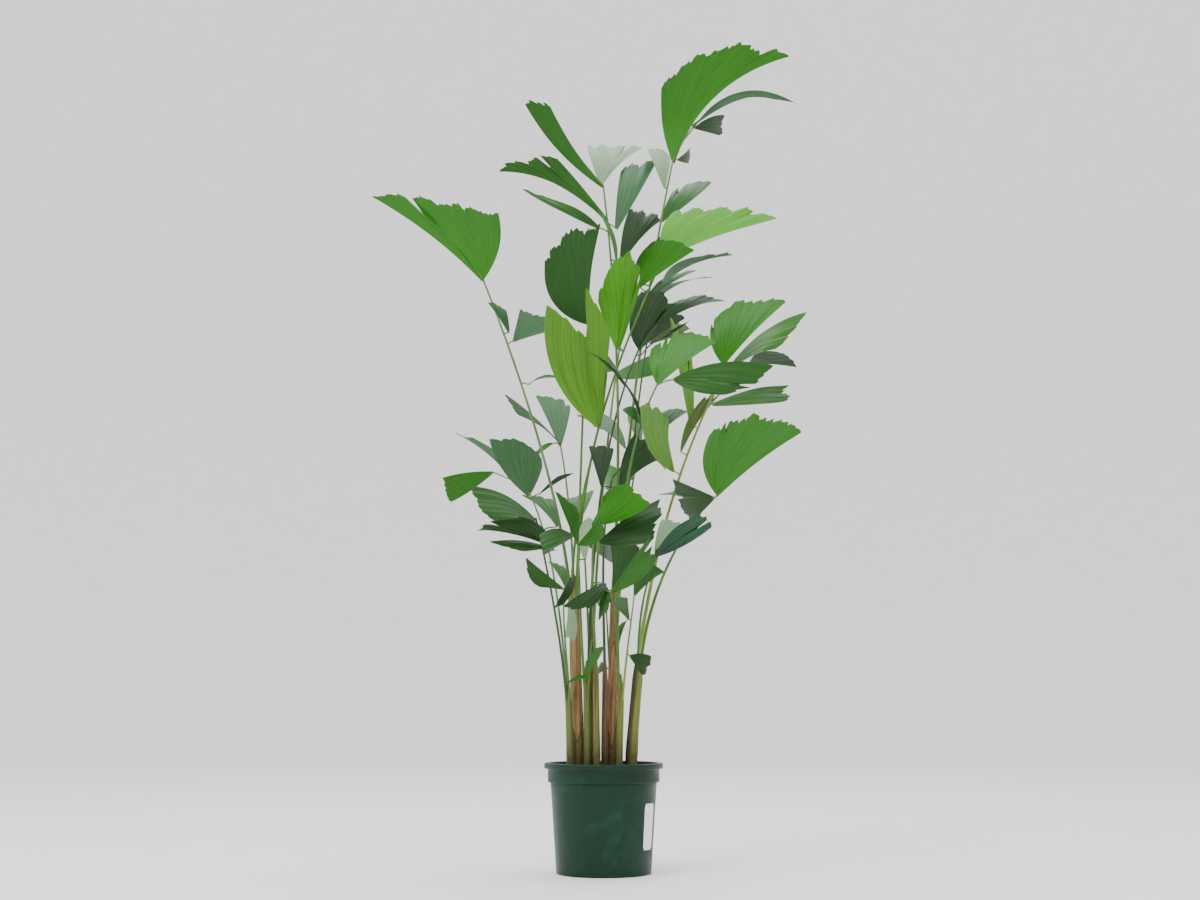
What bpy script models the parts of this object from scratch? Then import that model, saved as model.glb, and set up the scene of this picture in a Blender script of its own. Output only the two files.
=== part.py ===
"""Fishtail palm: a clump of canes and fronds in a nursery pot.

Places and sizes in the tables are in centimetres. The origin is the centre of the pot's underside,
+Z is up, and the plant is seen from the front along +Y, with +X to the right.
"""
import math
from collections import namedtuple

import bmesh
import bpy
from mathutils import Vector

CM = 0.01
GAP = 0.03                      # clearance between pieces that touch
TOWARDS_FRONT = Vector((0, -1, 0))

# Pot: a blow-moulded nursery pot with a collar under a rolled lip
POT_BASE_RADIUS = 10.3
POT_BODY_RADIUS = 11.6          # under the collar
POT_COLLAR_RADIUS = 12.2
POT_LIP_RADIUS = 13.0
POT_HEIGHT = 23.5
POT_LIP_DEPTH = 1.2
POT_COLLAR_BOTTOM = 19.3
POT_WALL = 0.22
POT_FLOOR = 0.35
POT_FOOT_ROUND = 0.3
POT_COLLAR_STEP = 0.35          # height of the slope where the collar stands out
POT_LIP_ROUND = 0.25
POT_LIP_INSET = 0.1             # the lip's inner edge stands back from the collar's inside
POT_SIDES = 36
DRAIN_COUNT = 4
DRAIN_RADIUS = 0.9
DRAIN_SIDES = 12
DRAIN_CIRCLE = 6.6
SOIL_TOP = 22.0

# Label: a plain curved sticker low on the right of the pot
LABEL_BOTTOM = 5.4
LABEL_TOP = 15.1
LABEL_FROM, LABEL_TO = 51, 70   # degrees round from the front to the right
LABEL_THICKNESS = 0.06
LABEL_STEPS = 6

# Canes
CANE_SIDES = 10
CANE_RINGS = 5
CANE_SWELL = 1.08               # widest part, just above the soil
CANE_LEAN_POWER = 1.4           # over 1, so that a cane rises straight and leans further up
SLOT_CLEARANCE = 0.05           # from a frond's foot to the edge of its cane's top

# Fronds
RIB_SIDES = 5
RIB_RINGS = 7
STALK_SIDES = 3
STALK_RADIUS = 0.2
STALK_TAPER = 0.9
STALK_END = 0.3                 # radius of a stalk's end, as a share of its leaflet's thickness
ROOT_DEPTH = 0.14               # share of a leaflet that its stalk runs into
LEAF_THINNESS = 85              # length over thickness
LEAF_LEAST = 0.16               # thinnest leaflet
LEAF_HEEL = 0.015               # half width at the stalk, as a share of the length
LEAF_BOW = 0.05                 # how far a leaflet arches off its own plane
LEAF_TOOTH = 0.06               # how far the torn edge steps in and out
SLIVERS = (0.008, 0.004, 0.001) # edges shorter than this are closed up after the union
LARGE_LEAF, LARGE_GRID = 26, (7, 4)     # longer leaflets have this many ribs and rings
SMALL_LEAF, SMALL_GRID = 11, (4, 3)     # shorter ones have this many
MIDDLE_GRID = (5, 3)

# A cane: its middle on the soil (x, y), the middle of its flat top, and both radii
Cane = namedtuple("Cane", "name foot top foot_radius top_radius")
CANES = (
    Cane("cane_left", (-5.7, 0), (-6.6, 0, 58.7), 1.45, 1.25),
    Cane("cane_outer", (-7.2, -2.7), (-7.7, -2.9, 36.6), 0.85, 0.78),
    Cane("cane_green", (-3.4, -1.6), (-3.6, -2.2, 39.2), 0.95, 0.9),
    Cane("cane_olive", (-1.5, -3.6), (-1.7, -3.8, 41.8), 0.8, 0.7),
    Cane("cane_middle", (0.2, -1.2), (0.3, -1.8, 40.9), 0.75, 0.65),
    Cane("cane_tan", (1.7, 1), (2.5, 1.6, 59), 1.15, 1.05),
    Cane("cane_fork", (3.4, -1.9), (3.7, -2.6, 36.4), 0.75, 0.75),
    Cane("cane_right", (6, 0), (7.4, -0.8, 41.4), 1.3, 1.2),
    Cane("cane_rear", (2.3, 4.2), (2.3, 4.8, 37.9), 0.8, 0.75),
    Cane("cane_rear_left", (-2.1, 3.6), (-2.8, 4.8, 50.3), 0.95, 0.85),
)

# A leaflet spreads from its base like a fan. Its long edge ends in the tail and its short edge in the
# corner, both measured from the base. The long edge turns clockwise by curl, seen from the front, and
# the short edge bulges out by shoulder. Under 1, fill swells the torn edge between them, and over 1
# it hollows it.
Leaf = namedtuple("Leaf", "base tail corner curl fill shoulder", defaults=(0, 1.0, 35))

# A frond stands on a cane's flat top, in a slot at a compass angle, and its rib bends up to the tip
Frond = namedtuple("Frond", "name cane slot rise bend tip foot_radius tip_radius leaves")

FRONDS = (
    Frond("top", "cane_tan", -60, (5, 4, 98), (11, 8, 137), (16.5, 8, 163.5), 0.42, 0.22, (
        Leaf((16.5, 8, 163), (28.5, 8, 30), (-2.5, -3, 16.5), curl=52, fill=1.1, shoulder=0),
        Leaf((21.5, 13, 173.5), (27, 15, 12), (11, 7, 10.5), curl=78, shoulder=0),
        Leaf((22, 15, 174), (8, 9, 6.5), (6.5, 6, 0.5), curl=20, shoulder=30),
        Leaf((14.5, 8, 156.5), (2.5, 14, 13.5), (-3.5, 8, 12), curl=15, fill=0.7),
        Leaf((17.5, 8, 163.5), (3.5, 7, 5.5), (3, 5, 1)),
        Leaf((13.5, 8.5, 148.5), (13, 17.5, 15.5), (3.5, 7.5, 9.5), curl=-8, shoulder=20),
    )),
    Frond("high_left", "cane_tan", 180, (4, 3, 86), (4, 3, 121), (0, 4, 155.5), 0.42, 0.22, (
        Leaf((0, 4, 155.5), (-18, -8, 17.5), (-12.5, -6, 17), curl=20, shoulder=-10),
        Leaf((1, 2, 146.5), (-24.5, -10, 9), (-12, -6, 13), curl=-58, shoulder=20),
        Leaf((-0.5, 5, 156.5), (10, 17, 15), (-3, 9, 12.5), curl=10, fill=1.6),
        Leaf((3, 6, 146), (10, 12, 21.5), (1.5, 7, 16), curl=-4, fill=1.2, shoulder=15),
        Leaf((-1, 2, 145), (-17.5, -16, 4.5), (-11, -10, 3.5), curl=22, shoulder=10),
        Leaf((3, 2, 135.5), (-4, -8, 11), (-2, -3, 10), curl=-10),
        Leaf((4, 4, 137), (10, 12, 14.5), (2.5, 7, 15), curl=20, fill=0.7),
    )),
    Frond("bright", "cane_left", 16, (-6, -2, 88), (1, -6, 108), (13.5, -10, 135), 0.4, 0.2, (
        Leaf((13, -10, 134.5), (25, -6, 7.5), (3, 5, 12), curl=-6, fill=2.0),
        Leaf((8, -9, 128), (11.5, -13, 5), (0, -3, 6), curl=10),
        Leaf((7, -8, 129), (9, 10, 15.5), (4, 4, 10.5), curl=20),
        Leaf((3, -6, 114.5), (2.5, -12, 19.5), (-4, -3, 10.5), curl=-4, shoulder=40),
        Leaf((3.5, -6, 115), (2.5, -12, 19), (4.5, -6, 13), curl=6, fill=0.9),
    )),
    Frond("dark_fan", "cane_left", -56, (-5, -4, 81), (-5, -10, 98), (-3.5, -13, 118.5), 0.36, 0.2, (
        Leaf((-3.5, -13, 118.5), (2.5, -9, 20), (-9, -11, 10), curl=6, fill=0.6, shoulder=72),
    )),
    Frond("yellow_striped", "cane_left", -128, (-7, -3, 74), (-4, -10, 84), (-1, -14, 95.5), 0.36, 0.2, (
        Leaf((-1, -14, 95.5), (-11, -6, 26), (1.5, -2, 11.5), curl=66, fill=1.3, shoulder=10),
        Leaf((-1, -16, 101), (-2.5, -9, 22.5), (2, -5, 13), curl=12, shoulder=10),
    )),
    Frond("dark_right", "cane_green", 60, (-3, 1, 72), (0, 4, 98), (8, 4, 116.5), 0.4, 0.2, (
        Leaf((8, 4, 116.5), (11, 10, 10), (-1.5, -4, 8), fill=0.6),
        Leaf((12.5, 8, 123.5), (17, 16, 10), (5.5, 6, 7), curl=22),
        Leaf((8.5, 5, 115.5), (11, -7, 6.5), (6, -2, 4), curl=10),
    )),
    Frond("grey_right", "cane_tan", 60, (5, 4, 77), (7, 8, 101), (12, 12, 131.5), 0.36, 0.18, (
        Leaf((5, 6, 94), (-11, 8, 9), (-5.5, 10, 10), curl=-10, fill=0.8),
        Leaf((12, 12, 130), (15, 18, 11), (7.5, 8, 6.5), curl=22),
        Leaf((10.5, 12, 131), (12, 14, 10.5), (4.5, 6, 6), curl=8),
        Leaf((14, 13, 134.5), (18.5, 19, 13), (9, 9, 9), curl=25),
        Leaf((11, 10, 119.5), (11, 14, 5.5), (5.5, 8, 7.5), curl=8, fill=0.9),
    )),
    Frond("right", "cane_right", 175, (10, -3, 61), (13, -6, 81), (25, -8, 105.5), 0.5, 0.22, (
        Leaf((15.5, -6, 87), (-7.5, -20, 11.5), (-1.5, -8, 9.5), curl=45, fill=0.9),
        Leaf((17, -7, 91), (9, 5, 14), (5.5, 1, 12.5)),
        Leaf((26.5, -8, 110.5), (13.5, -4, 13.5), (-2.5, 1, 7.5), curl=4, fill=0.8),
        Leaf((28.5, -7, 110.5), (19.5, 15, 16), (10, 5, 5), curl=20, fill=1.2, shoulder=20),
        Leaf((32.5, -6, 111), (13, 18, 3.5), (6.5, 8, 4.5), curl=10),
        Leaf((24, -8, 101.5), (19, 14, 7), (17, 10, 3), curl=6),
        Leaf((19.5, -5, 97.5), (-3.5, 13, 27.5), (0, 7, 18.5), curl=-10),
    )),
    Frond("right_front", "cane_fork", 150, (2, -8, 67), (4, -14, 90), (11.5, -18, 104), 0.4, 0.2, (
        Leaf((11.5, -18, 104), (12.5, -2, 9), (-1, 3, 8.5), fill=0.9),
        Leaf((15, -19, 105), (20, -11, 0.5), (9, -5, -4), curl=34, fill=0.8),
        Leaf((8, -16, 96.5), (-11, -10, 13), (-4, -2, 7.5), curl=-72, fill=0.8),
        Leaf((8, -15, 96), (-4, -9, 1.5), (-1, -3, 2.5), curl=-10),
    )),
    Frond("far_right", "cane_right", 55, (9, 1, 59), (17, 2, 75), (25.5, 2, 82.5), 0.46, 0.2, (
        Leaf((25.5, 2, 82.5), (19.5, 2, 15), (-2.5, -8, 10.5), fill=0.75, shoulder=45),
        Leaf((25, 2, 82), (-10, -12, 2.5), (-5.5, -6, -5.5), curl=-10, fill=0.8),
        Leaf((21.5, 2, 80.5), (-8.5, 12, 4), (0.5, 6, 4), curl=-10),
    )),
    Frond("right_low", "cane_right", -65, (7, -6, 54), (9, -12, 62), (11, -14, 66.5), 0.34, 0.2, (
        Leaf((11, -14, 67.5), (11.5, -12, 5), (9.5, -8, 8), curl=-42, fill=0.9),
        Leaf((11, -14, 69), (9, 10, 5), (2, 6, 7), curl=10, fill=0.8),
        Leaf((10.5, -14, 66.5), (6.5, 6, 6), (3, 4, 5.5), curl=6),
    )),
    Frond("far_left", "cane_left", 160, (-8, -2, 68), (-11, -2, 90), (-27.5, 0, 132), 0.46, 0.22, (
        Leaf((-27.5, 0, 132), (-25, -6, 18.5), (3.5, -8, 13), curl=-10, fill=2.6, shoulder=45),
        Leaf((-21.5, -1, 119.5), (-4, -13, 4), (-0.5, -7, 3.5), curl=-10),
        Leaf((-20.5, -1, 117.5), (11.5, -13, 0), (2, -7, 5.5), curl=4, fill=1.4),
        Leaf((-17, -1, 107.5), (8.5, -8, -1), (5, -4, 1), curl=75, shoulder=0),
    )),
    Frond("mid_left", "cane_left", 88, (-7, 4, 73), (-8, 8, 85), (-10, 9, 95.5), 0.34, 0.18, (
        Leaf((-10, 9, 95), (-6, 11, 14), (2, 5, 10), curl=-6),
        Leaf((-10.5, 8, 96), (-12, -4, 10), (-9, 0, 6), curl=14, shoulder=0),
        Leaf((-11.5, 8, 95.5), (-5, -1, -4), (-3, 0, -1), curl=8),
    )),
    Frond("left", "cane_outer", 90, (-10, 2, 61), (-12, 4, 73), (-17, 6, 84), 0.3, 0.18, (
        Leaf((-17, 6, 83), (-8.5, -8, 12), (3, -2, 6.5), curl=38, fill=0.9),
        Leaf((-22, 7, 88.5), (-12.5, 7, 10.5), (-7, 3, 7.5), curl=-6),
        Leaf((-25, 3, 88), (-10.5, -11, -3), (-9, -7, -7.5), curl=-8, fill=0.9),
        Leaf((-16, 6, 86.5), (-4.5, 12, 11.5), (1, 8, 5.5), curl=-10),
        Leaf((-14.5, 6, 83.5), (8, -3, 4.5), (4, -2, 3.5), curl=10, shoulder=10),
    )),
    Frond("left_front", "cane_outer", -150, (-9, -6, 48), (-11, -12, 60), (-14.5, -16, 75.5), 0.32, 0.2, (
        Leaf((-14.5, -16, 75), (-13.5, -8, 6), (-8.5, -10, -1), curl=-50, fill=0.9),
        Leaf((-10.5, -13, 69.5), (-15.5, -17, 2), (-7.5, -13, 5), curl=-10, fill=1.2),
        Leaf((-10.5, -12, 69), (-13, -12, 0.5), (-6, -8, -1), curl=-6),
        Leaf((-10, -12, 74), (-8, 8, 8), (-1.5, 6, 6.5), curl=-14),
    )),
    Frond("front_left", "cane_green", 180, (-5, -8, 50), (-5, -14, 60), (-5.5, -18, 69.5), 0.36, 0.2, (
        Leaf((-5.5, -18, 69.5), (-4.5, -6, 10.5), (0, -2, 7), curl=-10),
        Leaf((-5.5, -18, 69.5), (4.5, -10, 5), (5.5, -12, 1.5), curl=10),
        Leaf((-6.5, -18, 71.5), (-6, -14, -5), (-6.5, -10, -1), curl=10),
        Leaf((-4, -16, 66.5), (3.5, 12, 10), (0, 12, 10), curl=10, fill=0.8),
    )),
    Frond("low_left", "cane_outer", -30, (-8, -5, 46), (-9, -10, 54), (-8.5, -12, 60.5), 0.28, 0.16, (
        Leaf((-8.5, -12, 60.5), (-8, -8, 6), (-5, -2, 0.5), curl=10, fill=0.9),
        Leaf((-8, -12, 60.5), (-4, 8, 6.5), (-1, 6, 5.5), curl=-10),
        Leaf((-7, -12, 63), (-3.5, -8, -7.5), (-1, -4, -5), curl=-10),
        Leaf((-7.5, -11, 58.5), (-1, 9, -8), (1, 7, -8.5), curl=-10),
    )),
    Frond("front_right", "cane_olive", -90, (-2, -9, 54), (-3, -16, 64), (-2, -20, 74), 0.36, 0.2, (
        Leaf((-2.5, -20, 73.5), (12, -14, 3), (2.5, -4, 5.5), curl=-22, fill=0.7, shoulder=30),
        Leaf((-1, -18, 70), (13, -6, 8.5), (10.5, -7, -0.5), curl=10, fill=0.9),
        Leaf((1.5, -16, 59.5), (8, -10, 10.5), (9, -8, 5.5), curl=10, fill=0.8),
        Leaf((2, -14, 60), (-0.5, -3, 11), (5.5, -5, 9), fill=0.9),
        Leaf((0.5, -14, 61.5), (-8.5, -8, -5), (-3.5, -6, -5.5), curl=-10, fill=0.9),
        Leaf((0, -13, 61.5), (-1, -5, -8), (1.5, -3, -3.5)),
    )),
    Frond("centre", "cane_middle", -90, (0, -5, 59), (-1, -6, 74), (2, -7, 85.5), 0.36, 0.2, (
        Leaf((3.5, -8, 83), (9, 3, 7), (3.5, 4, 12.5), curl=20, fill=0.8),
        Leaf((-0.5, -7, 83.5), (-2.5, -11, 7), (2.5, -7, 7), curl=-6, fill=0.9),
        Leaf((10.5, -3, 94.5), (9.5, 15, 9.5), (4, 9, 8), curl=8, fill=0.9),
    )),
    Frond("low_right", "cane_fork", -30, (5, -6, 48), (6, -10, 54), (6.5, -12, 59), 0.3, 0.16, (
        Leaf((6.5, -12, 59), (6, -10, 4.5), (-0.5, -2, 4), curl=20, fill=0.8),
        Leaf((5.5, -8, 46.5), (4.5, -8, -0.5), (2.5, -4, -4), curl=20, fill=0.7),
        Leaf((5.5, -10, 54), (-4, -8, 3.5), (-0.5, -4, 4.5), curl=-10, fill=0.8),
    )),
    Frond("rear_low", "cane_rear", 180, (1, 5, 46), (1, 6, 53), (0.5, 7, 59), 0.3, 0.16, (
        Leaf((0.5, 7, 56.5), (2, 7, 5.5), (-2, 5, 3)),
        Leaf((1, 5, 44), (-2.5, 4, -1.5), (-1.5, 3, 1.5)),
    )),
    Frond("low_stems", "cane_green", -60, (-3, -6, 43), (-3, -8, 47), (-2.5, -9, 50), 0.24, 0.14, (
        Leaf((-3.5, -5, 42), (-5.5, -7, -2), (-3, -4, -0.5)),
        Leaf((-4, -6, 41.5), (4, -6, 7), (1.5, -3, 5.5)),
    )),
    Frond("rear_high", "cane_rear_left", 0, (-1, 10, 83), (2, 20, 108), (5, 26, 129), 0.36, 0.2, (
        Leaf((5, 26, 129), (2.5, 20, 20), (-5, 14, 9.5), curl=10, fill=0.9),
        Leaf((3, 22, 116), (-10, 16, 12.5), (-8, 14, 4.5), curl=-10, fill=0.9),
        Leaf((3, 21, 114.5), (13.5, 19, 10), (9.5, 17, 3.5), curl=-10, fill=0.9),
        Leaf((0.5, 17.5, 101.5), (-5, 18.5, 10.5), (-3, 14.5, 2.5), curl=-10, fill=0.9),
    )),
    Frond("rear_mid", "cane_rear", 0, (3, 10, 64), (6, 18, 84), (9, 24, 99), 0.36, 0.2, (
        Leaf((9, 24, 99), (3, 20, 12.5), (-2, 16, 9.5), curl=10, fill=0.9),
        Leaf((8, 22, 95), (7.5, 18, -1), (6, 18, 4), curl=10, fill=0.9),
        Leaf((7, 19.5, 89), (-7.5, 18.5, 6.5), (-6.5, 14.5, -0.5), curl=-10, fill=0.9),
        Leaf((6, 18, 82.5), (7, 18, -0.5), (3.5, 12, -4.5), curl=10, fill=0.9),
        Leaf((3, 5.5, 47), (2.5, 3.5, 8.5), (0, 4.5, 6)),
    )),
    Frond("rear_left", "cane_rear_left", 180, (-4, 8, 62), (-4, 12, 71), (-5.5, 15, 78.5), 0.32, 0.18, (
        Leaf((-5.5, 15, 78.5), (-4.5, 19, 6.5), (3, 16, 9), curl=-10, fill=0.9),
        Leaf((-4.5, 12, 73), (7, 15, 3), (6.5, 11, -3.5), curl=10, fill=0.9),
    )),
)

COLOURS = {
    "pot": (0.016, 0.075, 0.045),
    "soil": (0.045, 0.028, 0.018),
    "label": (0.8, 0.8, 0.78),
    "cane": (0.30, 0.24, 0.08),
    "frond": (0.06, 0.22, 0.02),
}
ROUGHNESS = {"pot": 0.45, "soil": 0.95, "label": 0.5, "cane": 0.6, "frond": 0.4}


def clear_scene():
    for obj in list(bpy.data.objects):
        bpy.data.objects.remove(obj, do_unlink=True)


def finish_of(kind, name):
    material = bpy.data.materials.new(name)
    material.use_nodes = True
    shader = material.node_tree.nodes["Principled BSDF"]
    shader.inputs["Base Color"].default_value = (*COLOURS[kind], 1)
    shader.inputs["Roughness"].default_value = ROUGHNESS[kind]
    shader.inputs["Metallic"].default_value = 0.0
    return material


def make_object(name, points, faces, kind):
    mesh = bpy.data.meshes.new(name)
    mesh.from_pydata([Vector(p) * CM for p in points], [], faces)
    mesh.validate()
    mesh.materials.append(finish_of(kind, name))
    obj = bpy.data.objects.new(name, mesh)
    bpy.context.scene.collection.objects.link(obj)
    return obj


def strip(lower, upper, closed=True):
    """Quads between two rows of point numbers."""
    count = len(lower)
    last = count if closed else count - 1
    return [(lower[i], lower[(i + 1) % count], upper[(i + 1) % count], upper[i]) for i in range(last)]


def turned(name, profile, sides, kind):
    """A solid of revolution. The profile runs from the axis, out and up, and back to the axis."""
    points, rows = [], []
    for radius, height in profile:
        if radius == 0:
            rows.append([len(points)] * sides)
            points.append((0, 0, height))
            continue
        rows.append(list(range(len(points), len(points) + sides)))
        for i in range(sides):
            angle = math.tau * i / sides
            points.append((radius * math.cos(angle), radius * math.sin(angle), height))
    faces = []
    for lower, upper in zip(rows, rows[1:]):
        for quad in strip(lower, upper):
            faces.append(tuple(dict.fromkeys(quad)))
    return make_object(name, points, faces, kind)


def tube(path, radii, sides):
    """Points and faces of a closed tapered tube along a path."""
    points, faces, rows = [], [], []
    side = (path[1] - path[0]).cross(TOWARDS_FRONT).normalized()
    for i, middle in enumerate(path):
        ahead = path[min(i + 1, len(path) - 1)]
        behind = path[max(i - 1, 0)]
        along = (ahead - behind).normalized()
        side = (side - along * side.dot(along)).normalized()
        other = along.cross(side)
        rows.append(list(range(len(points), len(points) + sides)))
        for k in range(sides):
            angle = math.tau * k / sides
            points.append(middle + (side * math.cos(angle) + other * math.sin(angle)) * radii[i])
    for lower, upper in zip(rows, rows[1:]):
        faces += strip(lower, upper)
    faces.append(tuple(reversed(rows[0])))
    faces.append(tuple(rows[-1]))
    return points, faces


def wall_radius(height):
    """Outer radius of the pot's body, which narrows evenly to its base."""
    return POT_BASE_RADIUS + (POT_BODY_RADIUS - POT_BASE_RADIUS) * height / POT_COLLAR_BOTTOM


def make_pot():
    inner_collar = POT_COLLAR_RADIUS - POT_WALL
    lip_bottom = POT_HEIGHT - POT_LIP_DEPTH
    outer = [
        (0, 0), (POT_BASE_RADIUS - POT_FOOT_ROUND, 0), (POT_BASE_RADIUS, POT_FOOT_ROUND),
        (wall_radius(POT_COLLAR_BOTTOM), POT_COLLAR_BOTTOM),
        (POT_COLLAR_RADIUS, POT_COLLAR_BOTTOM + POT_COLLAR_STEP),
        (POT_COLLAR_RADIUS, lip_bottom), (POT_LIP_RADIUS, lip_bottom + POT_LIP_INSET),
        (POT_LIP_RADIUS, POT_HEIGHT - POT_LIP_ROUND), (POT_LIP_RADIUS - POT_LIP_ROUND, POT_HEIGHT),
    ]
    inner = [
        (inner_collar + POT_LIP_INSET, POT_HEIGHT), (inner_collar, POT_HEIGHT - POT_LIP_INSET),
        (inner_collar, POT_COLLAR_BOTTOM + POT_COLLAR_STEP + POT_LIP_INSET),
        (wall_radius(POT_COLLAR_BOTTOM) - POT_WALL, POT_COLLAR_BOTTOM - POT_LIP_INSET),
        (POT_BASE_RADIUS - POT_WALL, POT_FLOOR), (0, POT_FLOOR),
    ]
    pot = turned("pot", outer + inner, POT_SIDES, "pot")
    cutter = [(0, -1), (DRAIN_RADIUS, -1), (DRAIN_RADIUS, 1), (0, 1)]
    for i in range(DRAIN_COUNT):
        angle = math.tau * (i + 0.5) / DRAIN_COUNT
        drain = turned(f"drain_cutter_{i}", cutter, DRAIN_SIDES, "pot")
        drain.location = Vector((math.cos(angle), math.sin(angle), 0)) * DRAIN_CIRCLE * CM
        drain.hide_render = True
        drain.display_type = "WIRE"
        cut = pot.modifiers.new(f"drain {i}", "BOOLEAN")
        cut.operation = "DIFFERENCE"
        cut.object = drain
    pot.data.shade_smooth()
    pot.data.set_sharp_from_angle(angle=math.radians(35))


def make_soil():
    """The mix fills the pot to just under its lip, clear of the wall and the floor."""
    inset = POT_WALL + GAP * 2
    under_step = POT_COLLAR_BOTTOM - POT_LIP_INSET
    over_step = POT_COLLAR_BOTTOM + POT_COLLAR_STEP + POT_LIP_INSET + GAP * 2
    profile = [
        (0, POT_FLOOR + GAP), (POT_BASE_RADIUS - inset, POT_FLOOR + GAP),
        (wall_radius(POT_COLLAR_BOTTOM) - inset, under_step), (POT_COLLAR_RADIUS - inset, over_step),
        (POT_COLLAR_RADIUS - inset, SOIL_TOP), (0, SOIL_TOP),
    ]
    turned("soil", profile, POT_SIDES, "soil")


def make_label():
    """A thin plate that follows the pot's wall, in flat steps outside its facets."""
    points = []
    rows = []
    for clearance in (GAP * 2, GAP * 2 + LABEL_THICKNESS):
        for height in (LABEL_BOTTOM, LABEL_TOP):
            rows.append(list(range(len(points), len(points) + LABEL_STEPS + 1)))
            for i in range(LABEL_STEPS + 1):
                round_by = math.radians(LABEL_FROM + (LABEL_TO - LABEL_FROM) * i / LABEL_STEPS)
                radius = wall_radius(height) + clearance
                points.append((radius * math.sin(round_by), -radius * math.cos(round_by), height))
    inner_low, inner_high, outer_low, outer_high = rows
    faces = strip(outer_low, outer_high, closed=False)
    faces += strip(outer_high, inner_high, closed=False)
    faces += strip(inner_high, inner_low, closed=False)
    faces += strip(inner_low, outer_low, closed=False)
    faces.append((inner_low[0], outer_low[0], outer_high[0], inner_high[0]))
    faces.append((inner_low[-1], inner_high[-1], outer_high[-1], outer_low[-1]))
    make_object("label", points, faces, "label")


def make_cane(cane):
    """A leaning, tapering cane, cut flat on the soil and at its top, where the fronds stand."""
    foot = Vector((*cane.foot, SOIL_TOP + GAP))
    top = Vector(cane.top)
    points, rows = [], []
    for ring in range(CANE_RINGS):
        share = ring / (CANE_RINGS - 1)
        lean = share ** CANE_LEAN_POWER
        middle = Vector((foot.x + (top.x - foot.x) * lean, foot.y + (top.y - foot.y) * lean,
                         foot.z + (top.z - foot.z) * share))
        radius = cane.foot_radius + (cane.top_radius - cane.foot_radius) * share
        if ring == 1:
            radius *= CANE_SWELL
        rows.append(list(range(len(points), len(points) + CANE_SIDES)))
        for k in range(CANE_SIDES):
            angle = math.tau * k / CANE_SIDES
            points.append(middle + Vector((math.cos(angle), math.sin(angle), 0)) * radius)
    faces = [tuple(reversed(rows[0])), tuple(rows[-1])]
    for lower, upper in zip(rows, rows[1:]):
        faces += strip(lower, upper)
    cane_object = make_object(cane.name, points, faces, "cane")
    cane_object.data.shade_smooth()
    cane_object.data.set_sharp_from_angle(angle=math.radians(50))


def rib_path(frond):
    """Middle line of a frond's rib, from its slot on the cane to its tip."""
    cane = next(one for one in CANES if one.name == frond.cane)
    sharing = sum(1 for other in FRONDS if other.cane == cane.name)
    ring = 0 if sharing == 1 else cane.top_radius - frond.foot_radius - SLOT_CLEARANCE
    slot = math.radians(frond.slot)
    foot = Vector(cane.top) + Vector((math.cos(slot), math.sin(slot), 0)) * ring
    foot.z += GAP
    rise, bend, tip = Vector(frond.rise), Vector(frond.bend), Vector(frond.tip)
    path = []
    for i in range(RIB_RINGS):
        t = i / (RIB_RINGS - 1)
        u = 1 - t
        path.append(foot * u ** 3 + rise * (3 * u * u * t) + bend * (3 * u * t * t) + tip * t ** 3)
    return path


def make_rib(frond, path):
    radii = [frond.foot_radius + (frond.tip_radius - frond.foot_radius) * i / (RIB_RINGS - 1)
             for i in range(RIB_RINGS)]
    points, faces = tube(path, radii, RIB_SIDES)
    for i in range(RIB_SIDES):
        points[i].z = path[0].z
    return make_object(f"frond_{frond.name}", points, faces, "frond")


def nearest_on(path, place):
    """The point of a path that is nearest to a place."""
    best, best_distance = path[0], math.inf
    for start, end in zip(path, path[1:]):
        run = end - start
        share = min(1, max(0, (place - start).dot(run) / run.length_squared))
        point = start + run * share
        if (point - place).length < best_distance:
            best, best_distance = point, (point - place).length
    return best


def leaf_grid(leaf, ribs, rings):
    """Rows of points from the short edge to the long one, with the fan's normal and its thickness."""
    base, tail, corner = Vector(leaf.base), Vector(leaf.tail), Vector(leaf.corner)
    length, short = tail.length, corner.length
    ahead = tail.normalized()
    across = (corner - ahead * corner.dot(ahead)).normalized()
    opening = tail.angle(corner)
    turn = 1 if ahead.cross(across).y > 0 else -1
    normal = ahead.cross(across)
    if normal.z < 0:
        normal = -normal
    rows = []
    for i in range(ribs):
        share = i / (ribs - 1)
        bend = math.radians(leaf.curl) * turn * share ** 2 - math.radians(leaf.shoulder) * (1 - share) ** 2
        heading = opening * (1 - share) - bend / 2
        reach = short + (length - short) * share ** leaf.fill
        if 0 < i < ribs - 1:
            reach *= 1 + LEAF_TOOTH * (-1) ** i
        slack = math.sin(bend / 2) / (bend / 2) if abs(bend) > 1e-6 else 1
        step = reach / slack / (rings - 1)
        heel = LEAF_HEEL * length * (1 - 2 * share)
        place = base + across * heel
        row = [place.copy()]
        for j in range(1, rings):
            angle = heading + bend * (j - 0.5) / (rings - 1)
            place = place + (ahead * math.cos(angle) + across * math.sin(angle)) * step
            arch = math.sin(math.pi * j / (rings - 1)) * LEAF_BOW * length
            row.append(place + normal * arch)
        rows.append(row)
    return rows, normal, max(length / LEAF_THINNESS, LEAF_LEAST)


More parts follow.
